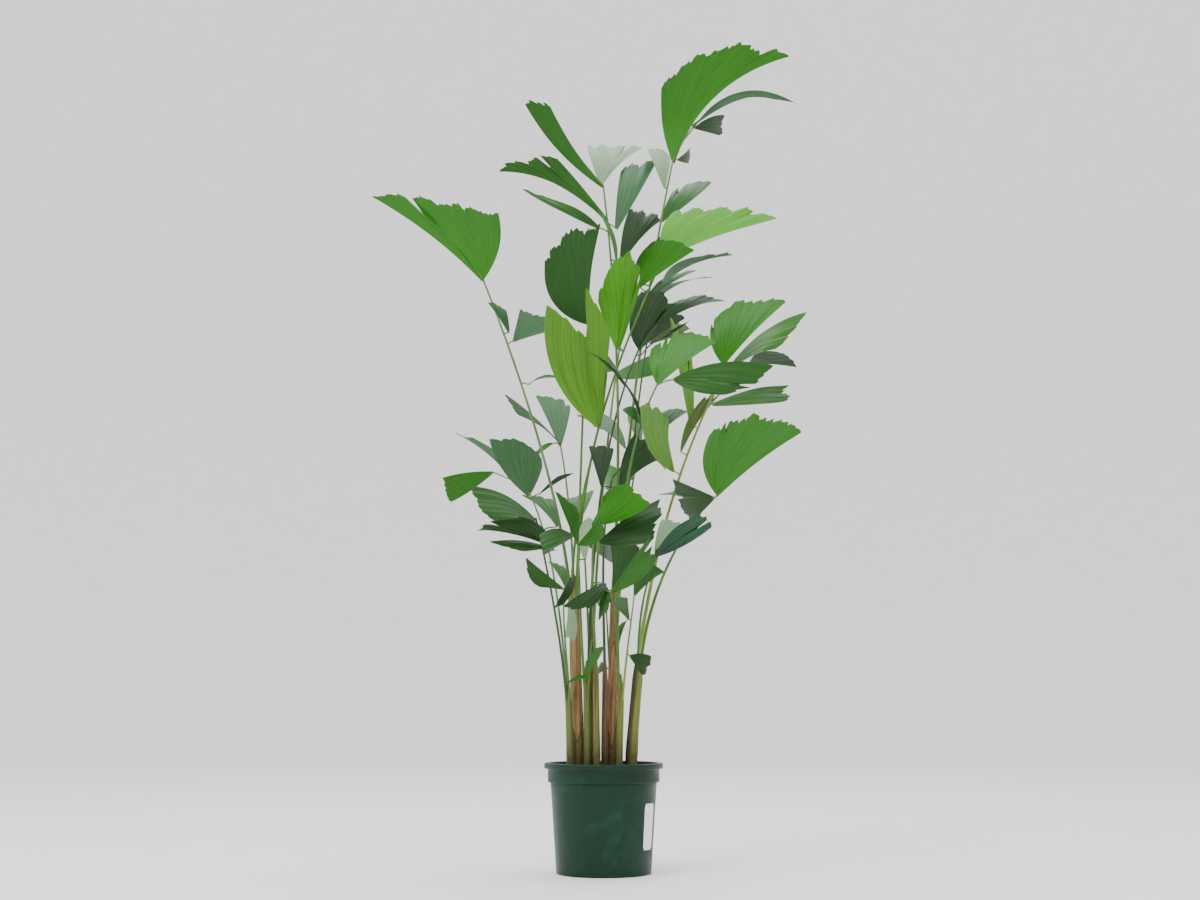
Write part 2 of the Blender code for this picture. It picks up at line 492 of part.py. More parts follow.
def make_leaf(name, leaf):
    length = Vector(leaf.tail).length
    ribs, rings = MIDDLE_GRID
    if length > LARGE_LEAF:
        ribs, rings = LARGE_GRID
    if length < SMALL_LEAF:
        ribs, rings = SMALL_GRID
    rows, normal, thickness = leaf_grid(leaf, ribs, rings)
    lift = normal * (thickness / 2)
    points = [p + lift for row in rows for p in row] + [p - lift for row in rows for p in row]
    under = ribs * rings
    faces = []
    for i in range(ribs - 1):
        for j in range(rings - 1):
            a, b = i * rings + j, i * rings + j + 1
            c, d = (i + 1) * rings + j + 1, (i + 1) * rings + j
            faces.append((a, b, c))
            faces.append((a, c, d))
            faces.append((a + under, c + under, b + under))
            faces.append((a + under, d + under, c + under))
    rim = list(range(rings))
    rim += [i * rings + rings - 1 for i in range(1, ribs)]
    rim += [(ribs - 1) * rings + j for j in range(rings - 2, -1, -1)]
    rim += [i * rings for i in range(ribs - 2, 0, -1)]
    for a, b in zip(rim, rim[1:] + rim[:1]):
        faces.append((a, a + under, b + under))
        faces.append((a, b + under, b))
    return make_object(name, points, faces, "frond"), rows, thickness


def make_stalk(name, path, leaf, rows, thickness):
    """A thin stalk from the rib to a leaflet, its end sunk inside the blade."""
    base = Vector(leaf.base)
    start = nearest_on(path, base)
    inside = rows[len(rows) // 2][0].lerp(rows[len(rows) // 2][1], ROOT_DEPTH * (len(rows[0]) - 1))
    route = [start, inside]
    radii = [STALK_RADIUS, thickness * STALK_END]
    if (base - start).length > STALK_RADIUS * 3:
        route = [start, base, inside]
        radii = [STALK_RADIUS, STALK_RADIUS * STALK_TAPER, thickness * STALK_END]
    points, faces = tube(route, radii, STALK_SIDES)
    return make_object(name, points, faces, "frond")


def turn_faces_out(obj):
    """Makes a closed mesh's faces point outwards."""
    mesh = obj.data
    mesh.calc_loop_triangles()
    volume = 0.0
    for triangle in mesh.loop_triangles:
        a, b, c = (mesh.vertices[i].co for i in triangle.vertices)
        volume += a.dot(b.cross(c))
    if volume < 0:
        mesh.flip_normals()


def is_one_body(mesh):
    """True where every edge has two faces and all faces hang together."""
    uses = {}
    for polygon in mesh.polygons:
        for key in polygon.edge_keys:
            uses[key] = uses.get(key, 0) + 1
    if any(count != 2 for count in uses.values()):
        return False
    parent = list(range(len(mesh.vertices)))

    def root(i):
        while parent[i] != i:
            parent[i] = parent[parent[i]]
            i = parent[i]
        return i

    for a, b in uses:
        parent[root(a)] = root(b)
    return len({root(i) for i in range(len(mesh.vertices))}) == 1


def union(target, parts, solver):
    """The target's mesh joined with the parts."""
    group = bpy.data.collections.new(f"{target.name} parts")
    bpy.context.scene.collection.children.link(group)
    for part in parts:
        group.objects.link(part)
    join = target.modifiers.new("join", "BOOLEAN")
    join.operation = "UNION"
    join.operand_type = "COLLECTION"
    join.collection = group
    join.solver = solver
    depsgraph = bpy.context.evaluated_depsgraph_get()
    mesh = bpy.data.meshes.new_from_object(target.evaluated_get(depsgraph))
    target.modifiers.remove(join)
    bpy.data.collections.remove(group)
    return mesh


def without_slivers(mesh):
    """A copy of a mesh with its shortest edges closed up, or the mesh itself where that would open it."""
    for distance in SLIVERS:
        work = bmesh.new()
        work.from_mesh(mesh)
        bmesh.ops.triangulate(work, faces=work.faces[:])
        bmesh.ops.remove_doubles(work, verts=work.verts[:], dist=distance * CM)
        bmesh.ops.dissolve_degenerate(work, edges=work.edges[:], dist=distance * CM)
        bmesh.ops.triangulate(work, faces=work.faces[:])
        cleaned = mesh.copy()
        work.to_mesh(cleaned)
        work.free()
        if is_one_body(cleaned):
            return cleaned
        bpy.data.meshes.remove(cleaned)
    return mesh


def make_frond(frond):
    path = rib_path(frond)
    rib = make_rib(frond, path)
    parts = []
    for i, leaf in enumerate(frond.leaves):
        blade, rows, thickness = make_leaf(f"{frond.name} leaf {i}", leaf)
        parts.append(blade)
        parts.append(make_stalk(f"{frond.name} stalk {i}", path, leaf, rows, thickness))
    for part in [rib, *parts]:
        turn_faces_out(part)
    for solver in ("EXACT", "MANIFOLD"):
        mesh = union(rib, parts, solver)
        if is_one_body(mesh):
            break
    rib.data = without_slivers(mesh)
    for part in parts:
        bpy.data.objects.remove(part, do_unlink=True)


def main():
    clear_scene()
    make_pot()
    make_soil()
    make_label()
    for cane in CANES:
        make_cane(cane)
    for frond in FRONDS:
        make_frond(frond)


main()
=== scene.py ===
"""Looks of a fishtail palm in its nursery pot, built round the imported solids.

Places and sizes in the plans are in centimetres, in the frame of the solids: the origin is the middle
of the pot's underside, +Z is up, and the plant is seen from the front along +Y.
"""
import logging
import math
import random
from dataclasses import dataclass, field
from enum import Enum
from functools import partial

import bpy
from mathutils import Matrix, Vector, noise

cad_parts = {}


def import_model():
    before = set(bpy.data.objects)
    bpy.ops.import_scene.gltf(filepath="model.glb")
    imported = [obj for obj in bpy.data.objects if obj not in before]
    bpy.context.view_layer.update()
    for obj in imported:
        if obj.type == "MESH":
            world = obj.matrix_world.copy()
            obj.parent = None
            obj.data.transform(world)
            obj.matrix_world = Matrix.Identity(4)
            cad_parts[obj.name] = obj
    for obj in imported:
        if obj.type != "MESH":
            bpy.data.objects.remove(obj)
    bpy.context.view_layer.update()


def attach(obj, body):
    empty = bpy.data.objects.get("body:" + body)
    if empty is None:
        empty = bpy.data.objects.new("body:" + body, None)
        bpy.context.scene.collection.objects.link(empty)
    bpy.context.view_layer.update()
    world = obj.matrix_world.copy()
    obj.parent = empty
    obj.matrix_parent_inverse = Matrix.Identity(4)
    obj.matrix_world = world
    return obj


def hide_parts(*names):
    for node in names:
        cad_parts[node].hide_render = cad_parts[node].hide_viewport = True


log = logging.getLogger("palm")

CM = 0.01
MM = 0.001
BODY = "root"
TOWARDS_FRONT = Vector((0, -1, 0))
Triple = tuple[float, float, float]
Colour = tuple[float, float, float, float]


class Tone(Enum):
    """Colour of a leaflet as it shows from the front: (that side, the far side, roughness)."""

    VIVID = ("#3f8a02", "#2c6404", 0.48)
    FRESH = ("#266e06", "#1b5007", 0.46)
    BRIGHT = ("#266b03", "#1b5307", 0.45)
    MID = ("#205909", "#17430a", 0.45)
    DEEP = ("#184b08", "#205117", 0.42)
    DARK = ("#12390b", "#264e21", 0.4)
    YELLOW = ("#467a0c", "#305f08", 0.48)
    OLIVE = ("#46601d", "#2e4e0f", 0.48)
    GREY = ("#37613b", "#1f4a17", 0.46)
    PALE = ("#6f8f6c", "#2c5831", 0.52)
    BLUE = ("#17442b", "#2d5939", 0.36)


class Stem(Enum):
    """Colour of a frond's rib and leaflet stalks."""

    GREEN = "#4c7a1e"
    YELLOW = "#7d9430"
    OLIVE = "#5f7a2a"
    GREY = "#5d7f4a"
    DARK = "#2f5216"


class Bark(Enum):
    """How a cane is clothed: (main colour, second colour, dark seams, how much of it is fibrous sheath)."""

    SHEATHED = ("#a08455", "#876a3e", "#4a3218", 1.0)
    LENS = ("#a87f58", "#8a6440", "#3e2814", 0.9)
    GREEN = ("#4c6220", "#5f6a2a", "#28330f", 0.25)
    OLIVE = ("#7a7034", "#5c5a22", "#33280f", 0.45)
    BROWN = ("#7d5f38", "#5d4424", "#2a1a0c", 0.7)
    YELLOW = ("#7b7c2c", "#5f6c24", "#33330f", 0.2)
    SPLIT = ("#74802a", "#66702a", "#3a3a14", 0.4)


@dataclass(frozen=True)
class CanePlan:
    """A cane: its middle on the soil (x, y), the middle of its flat top, both radii and its clothing."""

    name: str
    foot: tuple[float, float]
    top: Triple
    foot_radius: float
    top_radius: float
    bark: Bark


@dataclass(frozen=True)
class LeafPlan:
    """A leaflet that spreads from its base like a fan.

    Its long edge ends in the tail and its short edge in the corner, both measured from the base. The
    long edge turns clockwise by curl, seen from the front, and the short edge bulges out by shoulder.
    Under 1, fill swells the torn edge between them, and over 1 it hollows it.
    """

    base: Triple
    tail: Triple
    corner: Triple
    tone: Tone
    curl: float = 0
    fill: float = 1.0
    shoulder: float = 35


@dataclass(frozen=True)
class FrondPlan:
    """A frond on a cane's flat top, in a slot at a compass angle, whose rib bends up to its tip."""

    name: str
    cane: str
    slot: float
    rise: Triple
    bend: Triple
    tip: Triple
    foot_radius: float
    tip_radius: float
    stem: Stem
    leaves: tuple[LeafPlan, ...]


CANES: tuple[CanePlan, ...] = (
    CanePlan("cane_left", (-5.7, 0), (-6.6, 0, 58.7), 1.45, 1.25, Bark.SHEATHED),
    CanePlan("cane_outer", (-7.2, -2.7), (-7.7, -2.9, 36.6), 0.85, 0.78, Bark.GREEN),
    CanePlan("cane_green", (-3.4, -1.6), (-3.6, -2.2, 39.2), 0.95, 0.9, Bark.GREEN),
    CanePlan("cane_olive", (-1.5, -3.6), (-1.7, -3.8, 41.8), 0.8, 0.7, Bark.OLIVE),
    CanePlan("cane_middle", (0.2, -1.2), (0.3, -1.8, 40.9), 0.75, 0.65, Bark.BROWN),
    CanePlan("cane_tan", (1.7, 1), (2.5, 1.6, 59), 1.15, 1.05, Bark.LENS),
    CanePlan("cane_fork", (3.4, -1.9), (3.7, -2.6, 36.4), 0.75, 0.75, Bark.YELLOW),
    CanePlan("cane_right", (6, 0), (7.4, -0.8, 41.4), 1.3, 1.2, Bark.SPLIT),
    CanePlan("cane_rear", (2.3, 4.2), (2.3, 4.8, 37.9), 0.8, 0.75, Bark.OLIVE),
    CanePlan("cane_rear_left", (-2.1, 3.6), (-2.8, 4.8, 50.3), 0.95, 0.85, Bark.BROWN),
)

FRONDS: tuple[FrondPlan, ...] = (
    FrondPlan("top", "cane_tan", -60, (5, 4, 98), (11, 8, 137), (16.5, 8, 163.5), 0.42, 0.22, Stem.OLIVE, (
        LeafPlan((16.5, 8, 163), (28.5, 8, 30), (-2.5, -3, 16.5),
                 Tone.FRESH, curl=52, fill=1.1, shoulder=0),
        LeafPlan((21.5, 13, 173.5), (27, 15, 12), (11, 7, 10.5), Tone.GREY, curl=78, shoulder=0),
        LeafPlan((22, 15, 174), (8, 9, 6.5), (6.5, 6, 0.5), Tone.DARK, curl=20, shoulder=30),
        LeafPlan((14.5, 8, 156.5), (2.5, 14, 13.5), (-3.5, 8, 12), Tone.PALE, curl=15, fill=0.7),
        LeafPlan((17.5, 8, 163.5), (3.5, 7, 5.5), (3, 5, 1), Tone.DARK),
        LeafPlan((13.5, 8.5, 148.5), (13, 17.5, 15.5), (3.5, 7.5, 9.5), Tone.MID, curl=-8, shoulder=20),
    )),
    FrondPlan("high_left", "cane_tan", 180, (4, 3, 86),
              (4, 3, 121), (0, 4, 155.5), 0.42, 0.22, Stem.OLIVE, (
        LeafPlan((0, 4, 155.5), (-18, -8, 17.5), (-12.5, -6, 17), Tone.MID, curl=20, shoulder=-10),
        LeafPlan((1, 2, 146.5), (-24.5, -10, 9), (-12, -6, 13), Tone.MID, curl=-58, shoulder=20),
        LeafPlan((-0.5, 5, 156.5), (10, 17, 15), (-3, 9, 12.5), Tone.PALE, curl=10, fill=1.6),
        LeafPlan((3, 6, 146), (10, 12, 21.5), (1.5, 7, 16), Tone.GREY, curl=-4, fill=1.2, shoulder=15),
        LeafPlan((-1, 2, 145), (-17.5, -16, 4.5), (-11, -10, 3.5), Tone.MID, curl=22, shoulder=10),
        LeafPlan((3, 2, 135.5), (-4, -8, 11), (-2, -3, 10), Tone.FRESH, curl=-10),
        LeafPlan((4, 4, 137), (10, 12, 14.5), (2.5, 7, 15), Tone.DARK, curl=20, fill=0.7),
    )),
    FrondPlan("bright", "cane_left", 16, (-6, -2, 88),
              (1, -6, 108), (13.5, -10, 135), 0.4, 0.2, Stem.GREEN, (
        LeafPlan((13, -10, 134.5), (25, -6, 7.5), (3, 5, 12), Tone.VIVID, curl=-6, fill=2.0),
        LeafPlan((8, -9, 128), (11.5, -13, 5), (0, -3, 6), Tone.BRIGHT, curl=10),
        LeafPlan((7, -8, 129), (9, 10, 15.5), (4, 4, 10.5), Tone.DARK, curl=20),
        LeafPlan((3, -6, 114.5), (2.5, -12, 19.5), (-4, -3, 10.5), Tone.VIVID, curl=-4, shoulder=40),
        LeafPlan((3.5, -6, 115), (2.5, -12, 19), (4.5, -6, 13), Tone.VIVID, curl=6, fill=0.9),
    )),
    FrondPlan("dark_fan", "cane_left", -56, (-5, -4, 81),
              (-5, -10, 98), (-3.5, -13, 118.5), 0.36, 0.2, Stem.GREEN, (
        LeafPlan((-3.5, -13, 118.5), (2.5, -9, 20), (-9, -11, 10),
                 Tone.DEEP, curl=6, fill=0.6, shoulder=72),
    )),
    FrondPlan("yellow_striped", "cane_left", -128, (-7, -3, 74),
              (-4, -10, 84), (-1, -14, 95.5), 0.36, 0.2, Stem.GREEN, (
        LeafPlan((-1, -14, 95.5), (-11, -6, 26), (1.5, -2, 11.5),
                 Tone.YELLOW, curl=66, fill=1.3, shoulder=10),
        LeafPlan((-1, -16, 101), (-2.5, -9, 22.5), (2, -5, 13), Tone.YELLOW, curl=12, shoulder=10),
    )),
    FrondPlan("dark_right", "cane_green", 60, (-3, 1, 72), (0, 4, 98), (8, 4, 116.5), 0.4, 0.2, Stem.DARK, (
        LeafPlan((8, 4, 116.5), (11, 10, 10), (-1.5, -4, 8), Tone.DARK, fill=0.6),
        LeafPlan((12.5, 8, 123.5), (17, 16, 10), (5.5, 6, 7), Tone.DARK, curl=22),
        LeafPlan((8.5, 5, 115.5), (11, -7, 6.5), (6, -2, 4), Tone.DARK, curl=10),
    )),
    FrondPlan("grey_right", "cane_tan", 60, (5, 4, 77),
              (7, 8, 101), (12, 12, 131.5), 0.36, 0.18, Stem.DARK, (
        LeafPlan((5, 6, 94), (-11, 8, 9), (-5.5, 10, 10), Tone.GREY, curl=-10, fill=0.8),
        LeafPlan((12, 12, 130), (15, 18, 11), (7.5, 8, 6.5), Tone.GREY, curl=22),
        LeafPlan((10.5, 12, 131), (12, 14, 10.5), (4.5, 6, 6), Tone.GREY, curl=8),
        LeafPlan((14, 13, 134.5), (18.5, 19, 13), (9, 9, 9), Tone.GREY, curl=25),
        LeafPlan((11, 10, 119.5), (11, 14, 5.5), (5.5, 8, 7.5), Tone.OLIVE, curl=8, fill=0.9),
    )),
    FrondPlan("right", "cane_right", 175, (10, -3, 61),
              (13, -6, 81), (25, -8, 105.5), 0.5, 0.22, Stem.YELLOW, (
        LeafPlan((15.5, -6, 87), (-7.5, -20, 11.5), (-1.5, -8, 9.5), Tone.YELLOW, curl=45, fill=0.9),
        LeafPlan((17, -7, 91), (9, 5, 14), (5.5, 1, 12.5), Tone.OLIVE),
        LeafPlan((26.5, -8, 110.5), (13.5, -4, 13.5), (-2.5, 1, 7.5), Tone.BRIGHT, curl=4, fill=0.8),
        LeafPlan((28.5, -7, 110.5), (19.5, 15, 16), (10, 5, 5),
                 Tone.BRIGHT, curl=20, fill=1.2, shoulder=20),
        LeafPlan((32.5, -6, 111), (13, 18, 3.5), (6.5, 8, 4.5), Tone.DARK, curl=10),
        LeafPlan((24, -8, 101.5), (19, 14, 7), (17, 10, 3), Tone.MID, curl=6),
        LeafPlan((19.5, -5, 97.5), (-3.5, 13, 27.5), (0, 7, 18.5), Tone.YELLOW, curl=-10),
    )),
    FrondPlan("right_front", "cane_fork", 150, (2, -8, 67),
              (4, -14, 90), (11.5, -18, 104), 0.4, 0.2, Stem.GREEN, (
        LeafPlan((11.5, -18, 104), (12.5, -2, 9), (-1, 3, 8.5), Tone.BRIGHT, fill=0.9),
        LeafPlan((15, -19, 105), (20, -11, 0.5), (9, -5, -4), Tone.DEEP, curl=34, fill=0.8),
        LeafPlan((8, -16, 96.5), (-11, -10, 13), (-4, -2, 7.5), Tone.DARK, curl=-72, fill=0.8),
        LeafPlan((8, -15, 96), (-4, -9, 1.5), (-1, -3, 2.5), Tone.BRIGHT, curl=-10),
    )),
    FrondPlan("far_right", "cane_right", 55, (9, 1, 59),
              (17, 2, 75), (25.5, 2, 82.5), 0.46, 0.2, Stem.GREEN, (
        LeafPlan((25.5, 2, 82.5), (19.5, 2, 15), (-2.5, -8, 10.5), Tone.FRESH, fill=0.75, shoulder=45),
        LeafPlan((25, 2, 82), (-10, -12, 2.5), (-5.5, -6, -5.5), Tone.DARK, curl=-10, fill=0.8),
        LeafPlan((21.5, 2, 80.5), (-8.5, 12, 4), (0.5, 6, 4), Tone.DEEP, curl=-10),
    )),
    FrondPlan("right_low", "cane_right", -65, (7, -6, 54),
              (9, -12, 62), (11, -14, 66.5), 0.34, 0.2, Stem.GREEN, (
        LeafPlan((11, -14, 67.5), (11.5, -12, 5), (9.5, -8, 8), Tone.BLUE, curl=-42, fill=0.9),
        LeafPlan((11, -14, 69), (9, 10, 5), (2, 6, 7), Tone.PALE, curl=10, fill=0.8),
        LeafPlan((10.5, -14, 66.5), (6.5, 6, 6), (3, 4, 5.5), Tone.MID, curl=6),
    )),
    FrondPlan("far_left", "cane_left", 160, (-8, -2, 68),
              (-11, -2, 90), (-27.5, 0, 132), 0.46, 0.22, Stem.GREY, (
        LeafPlan((-27.5, 0, 132), (-25, -6, 18.5), (3.5, -8, 13),
                 Tone.FRESH, curl=-10, fill=2.6, shoulder=45),
        LeafPlan((-21.5, -1, 119.5), (-4, -13, 4), (-0.5, -7, 3.5), Tone.GREY, curl=-10),
        LeafPlan((-20.5, -1, 117.5), (11.5, -13, 0), (2, -7, 5.5), Tone.GREY, curl=4, fill=1.4),
        LeafPlan((-17, -1, 107.5), (8.5, -8, -1), (5, -4, 1), Tone.GREY, curl=75, shoulder=0),
    )),
    FrondPlan("mid_left", "cane_left", 88, (-7, 4, 73),
              (-8, 8, 85), (-10, 9, 95.5), 0.34, 0.18, Stem.GREY, (
        LeafPlan((-10, 9, 95), (-6, 11, 14), (2, 5, 10), Tone.GREY, curl=-6),
        LeafPlan((-10.5, 8, 96), (-12, -4, 10), (-9, 0, 6), Tone.GREY, curl=14, shoulder=0),
        LeafPlan((-11.5, 8, 95.5), (-5, -1, -4), (-3, 0, -1), Tone.BRIGHT, curl=8),
    )),
    FrondPlan("left", "cane_outer", 90, (-10, 2, 61), (-12, 4, 73), (-17, 6, 84), 0.3, 0.18, Stem.GREY, (
        LeafPlan((-17, 6, 83), (-8.5, -8, 12), (3, -2, 6.5), Tone.GREY, curl=38, fill=0.9),
        LeafPlan((-22, 7, 88.5), (-12.5, 7, 10.5), (-7, 3, 7.5), Tone.GREY, curl=-6),
        LeafPlan((-25, 3, 88), (-10.5, -11, -3), (-9, -7, -7.5), Tone.FRESH, curl=-8, fill=0.9),
        LeafPlan((-16, 6, 86.5), (-4.5, 12, 11.5), (1, 8, 5.5), Tone.GREY, curl=-10),
        LeafPlan((-14.5, 6, 83.5), (8, -3, 4.5), (4, -2, 3.5), Tone.DARK, curl=10, shoulder=10),
    )),
    FrondPlan("left_front", "cane_outer", -150, (-9, -6, 48),
              (-11, -12, 60), (-14.5, -16, 75.5), 0.32, 0.2, Stem.DARK, (
        LeafPlan((-14.5, -16, 75), (-13.5, -8, 6), (-8.5, -10, -1), Tone.DEEP, curl=-50, fill=0.9),
        LeafPlan((-10.5, -13, 69.5), (-15.5, -17, 2), (-7.5, -13, 5), Tone.DARK, curl=-10, fill=1.2),
        LeafPlan((-10.5, -12, 69), (-13, -12, 0.5), (-6, -8, -1), Tone.DEEP, curl=-6),
        LeafPlan((-10, -12, 74), (-8, 8, 8), (-1.5, 6, 6.5), Tone.DEEP, curl=-14),
    )),
    FrondPlan("front_left", "cane_green", 180, (-5, -8, 50),
              (-5, -14, 60), (-5.5, -18, 69.5), 0.36, 0.2, Stem.GREEN, (
        LeafPlan((-5.5, -18, 69.5), (-4.5, -6, 10.5), (0, -2, 7), Tone.MID, curl=-10),
        LeafPlan((-5.5, -18, 69.5), (4.5, -10, 5), (5.5, -12, 1.5), Tone.MID, curl=10),
        LeafPlan((-6.5, -18, 71.5), (-6, -14, -5), (-6.5, -10, -1), Tone.DEEP, curl=10),
        LeafPlan((-4, -16, 66.5), (3.5, 12, 10), (0, 12, 10), Tone.PALE, curl=10, fill=0.8),
    )),
    FrondPlan("low_left", "cane_outer", -30, (-8, -5, 46),
              (-9, -10, 54), (-8.5, -12, 60.5), 0.28, 0.16, Stem.GREEN, (
        LeafPlan((-8.5, -12, 60.5), (-8, -8, 6), (-5, -2, 0.5), Tone.DEEP, curl=10, fill=0.9),
        LeafPlan((-8, -12, 60.5), (-4, 8, 6.5), (-1, 6, 5.5), Tone.MID, curl=-10),
        LeafPlan((-7, -12, 63), (-3.5, -8, -7.5), (-1, -4, -5), Tone.DARK, curl=-10),
        LeafPlan((-7.5, -11, 58.5), (-1, 9, -8), (1, 7, -8.5), Tone.PALE, curl=-10),
    )),
    FrondPlan("front_right", "cane_olive", -90, (-2, -9, 54),
              (-3, -16, 64), (-2, -20, 74), 0.36, 0.2, Stem.GREEN, (
        LeafPlan((-2.5, -20, 73.5), (12, -14, 3), (2.5, -4, 5.5),
                 Tone.FRESH, curl=-22, fill=0.7, shoulder=30),
        LeafPlan((-1, -18, 70), (13, -6, 8.5), (10.5, -7, -0.5), Tone.DARK, curl=10, fill=0.9),
        LeafPlan((1.5, -16, 59.5), (8, -10, 10.5), (9, -8, 5.5), Tone.MID, curl=10, fill=0.8),
        LeafPlan((2, -14, 60), (-0.5, -3, 11), (5.5, -5, 9), Tone.DEEP, fill=0.9),
        LeafPlan((0.5, -14, 61.5), (-8.5, -8, -5), (-3.5, -6, -5.5), Tone.DARK, curl=-10, fill=0.9),
        LeafPlan((0, -13, 61.5), (-1, -5, -8), (1.5, -3, -3.5), Tone.DEEP),
    )),
    FrondPlan("centre", "cane_middle", -90, (0, -5, 59),
              (-1, -6, 74), (2, -7, 85.5), 0.36, 0.2, Stem.DARK, (
        LeafPlan((3.5, -8, 83), (9, 3, 7), (3.5, 4, 12.5), Tone.DARK, curl=20, fill=0.8),
        LeafPlan((-0.5, -7, 83.5), (-2.5, -11, 7), (2.5, -7, 7), Tone.DARK, curl=-6, fill=0.9),
        LeafPlan((10.5, -3, 94.5), (9.5, 15, 9.5), (4, 9, 8), Tone.DEEP, curl=8, fill=0.9),
    )),
    FrondPlan("low_right", "cane_fork", -30, (5, -6, 48),
              (6, -10, 54), (6.5, -12, 59), 0.3, 0.16, Stem.YELLOW, (
        LeafPlan((6.5, -12, 59), (6, -10, 4.5), (-0.5, -2, 4), Tone.MID, curl=20, fill=0.8),
        LeafPlan((5.5, -8, 46.5), (4.5, -8, -0.5), (2.5, -4, -4), Tone.DARK, curl=20, fill=0.7),
        LeafPlan((5.5, -10, 54), (-4, -8, 3.5), (-0.5, -4, 4.5), Tone.DEEP, curl=-10, fill=0.8),
    )),
    FrondPlan("rear_low", "cane_rear", 180, (1, 5, 46), (1, 6, 53), (0.5, 7, 59), 0.3, 0.16, Stem.GREEN, (
        LeafPlan((0.5, 7, 56.5), (2, 7, 5.5), (-2, 5, 3), Tone.MID),
        LeafPlan((1, 5, 44), (-2.5, 4, -1.5), (-1.5, 3, 1.5), Tone.DEEP),
    )),
    FrondPlan("low_stems", "cane_green", -60, (-3, -6, 43),
              (-3, -8, 47), (-2.5, -9, 50), 0.24, 0.14, Stem.GREEN, (
        LeafPlan((-3.5, -5, 42), (-5.5, -7, -2), (-3, -4, -0.5), Tone.FRESH),
        LeafPlan((-4, -6, 41.5), (4, -6, 7), (1.5, -3, 5.5), Tone.MID),
    )),
    FrondPlan("rear_high", "cane_rear_left", 0, (-1, 10, 83),
              (2, 20, 108), (5, 26, 129), 0.36, 0.2, Stem.OLIVE, (
        LeafPlan((5, 26, 129), (2.5, 20, 20), (-5, 14, 9.5), Tone.MID, curl=10, fill=0.9),
        LeafPlan((3, 22, 116), (-10, 16, 12.5), (-8, 14, 4.5), Tone.DEEP, curl=-10, fill=0.9),
        LeafPlan((3, 21, 114.5), (13.5, 19, 10), (9.5, 17, 3.5), Tone.FRESH, curl=-10, fill=0.9),
        LeafPlan((0.5, 17.5, 101.5), (-5, 18.5, 10.5), (-3, 14.5, 2.5), Tone.MID, curl=-10, fill=0.9),
    )),
    FrondPlan("rear_mid", "cane_rear", 0, (3, 10, 64), (6, 18, 84), (9, 24, 99), 0.36, 0.2, Stem.GREEN, (
        LeafPlan((9, 24, 99), (3, 20, 12.5), (-2, 16, 9.5), Tone.DEEP, curl=10, fill=0.9),
        LeafPlan((8, 22, 95), (7.5, 18, -1), (6, 18, 4), Tone.MID, curl=10, fill=0.9),
        LeafPlan((7, 19.5, 89), (-7.5, 18.5, 6.5), (-6.5, 14.5, -0.5), Tone.FRESH, curl=-10, fill=0.9),
        LeafPlan((6, 18, 82.5), (7, 18, -0.5), (3.5, 12, -4.5), Tone.DEEP, curl=10, fill=0.9),
        LeafPlan((3, 5.5, 47), (2.5, 3.5, 8.5), (0, 4.5, 6), Tone.MID),
    )),
    FrondPlan("rear_left", "cane_rear_left", 180, (-4, 8, 62),
              (-4, 12, 71), (-5.5, 15, 78.5), 0.32, 0.18, Stem.GREEN, (
        LeafPlan((-5.5, 15, 78.5), (-4.5, 19, 6.5), (3, 16, 9), Tone.MID, curl=-10, fill=0.9),
        LeafPlan((-4.5, 12, 73), (7, 15, 3), (6.5, 11, -3.5), Tone.DEEP, curl=10, fill=0.9),
    )),
)


def hex_colour(code: str) -> Colour:
    """Turns an sRGB hex value to a linear colour.

    Args:
        code: The colour as "#rrggbb".

    Returns:
        Linear red, green, blue and an alpha of 1.
    """
    channels = [int(code[i:i + 2], 16) / 255 for i in (1, 3, 5)]
    linear = [c / 12.92 if c <= 0.04045 else ((c + 0.055) / 1.055) ** 2.4 for c in channels]
    return (linear[0], linear[1], linear[2], 1.0)


def add_node(tree: bpy.types.NodeTree, kind: str, settings: dict | None = None,
             inputs: dict | None = None, stops: tuple = ()) -> bpy.types.Node:
    """Adds one node to a tree.

    Args:
        tree: The material's or modifier's node tree.
        kind: The node's type name.
        settings: Properties of the node, by name.
        inputs: Values, sockets or nodes for the node's inputs, by name or number. A node gives its
            first output.
        stops: Places and colours of a colour ramp, in order.

    Returns:
        The new node.
    """
    node = tree.nodes.new(kind)
    for name, value in (settings or {}).items():
        setattr(node, name, value)
    for name, value in (inputs or {}).items():
        if isinstance(value, bpy.types.Node):
            value = value.outputs[0]
        if isinstance(value, bpy.types.NodeSocket):
            tree.links.new(value, node.inputs[name])
        else:
            node.inputs[name].default_value = value
    if stops:
        ramp = node.color_ramp.elements
        ramp[0].position, ramp[0].color = stops[0]
        ramp[1].position, ramp[1].color = stops[-1]
        for place, colour in stops[1:-1]:
            ramp.new(place).color = colour
    return node


def new_material(name: str, roughness: float = 0.5, **constants: float) -> tuple:
    """Makes a material with an empty Principled surface.

    Args:
        name: The material's name.
        roughness: The surface's roughness.
        constants: Other constant inputs of the shader, with spaces as underscores.

    Returns:
        The material, its node tree and its shader node.
    """
    material = bpy.data.materials.new(name)
    material.use_nodes = True
    tree = material.node_tree
    shader = tree.nodes["Principled BSDF"]
    shader.inputs["Roughness"].default_value = roughness
    for key, value in constants.items():
        shader.inputs[key.replace("_", " ")].default_value = value
    return material, tree, shader


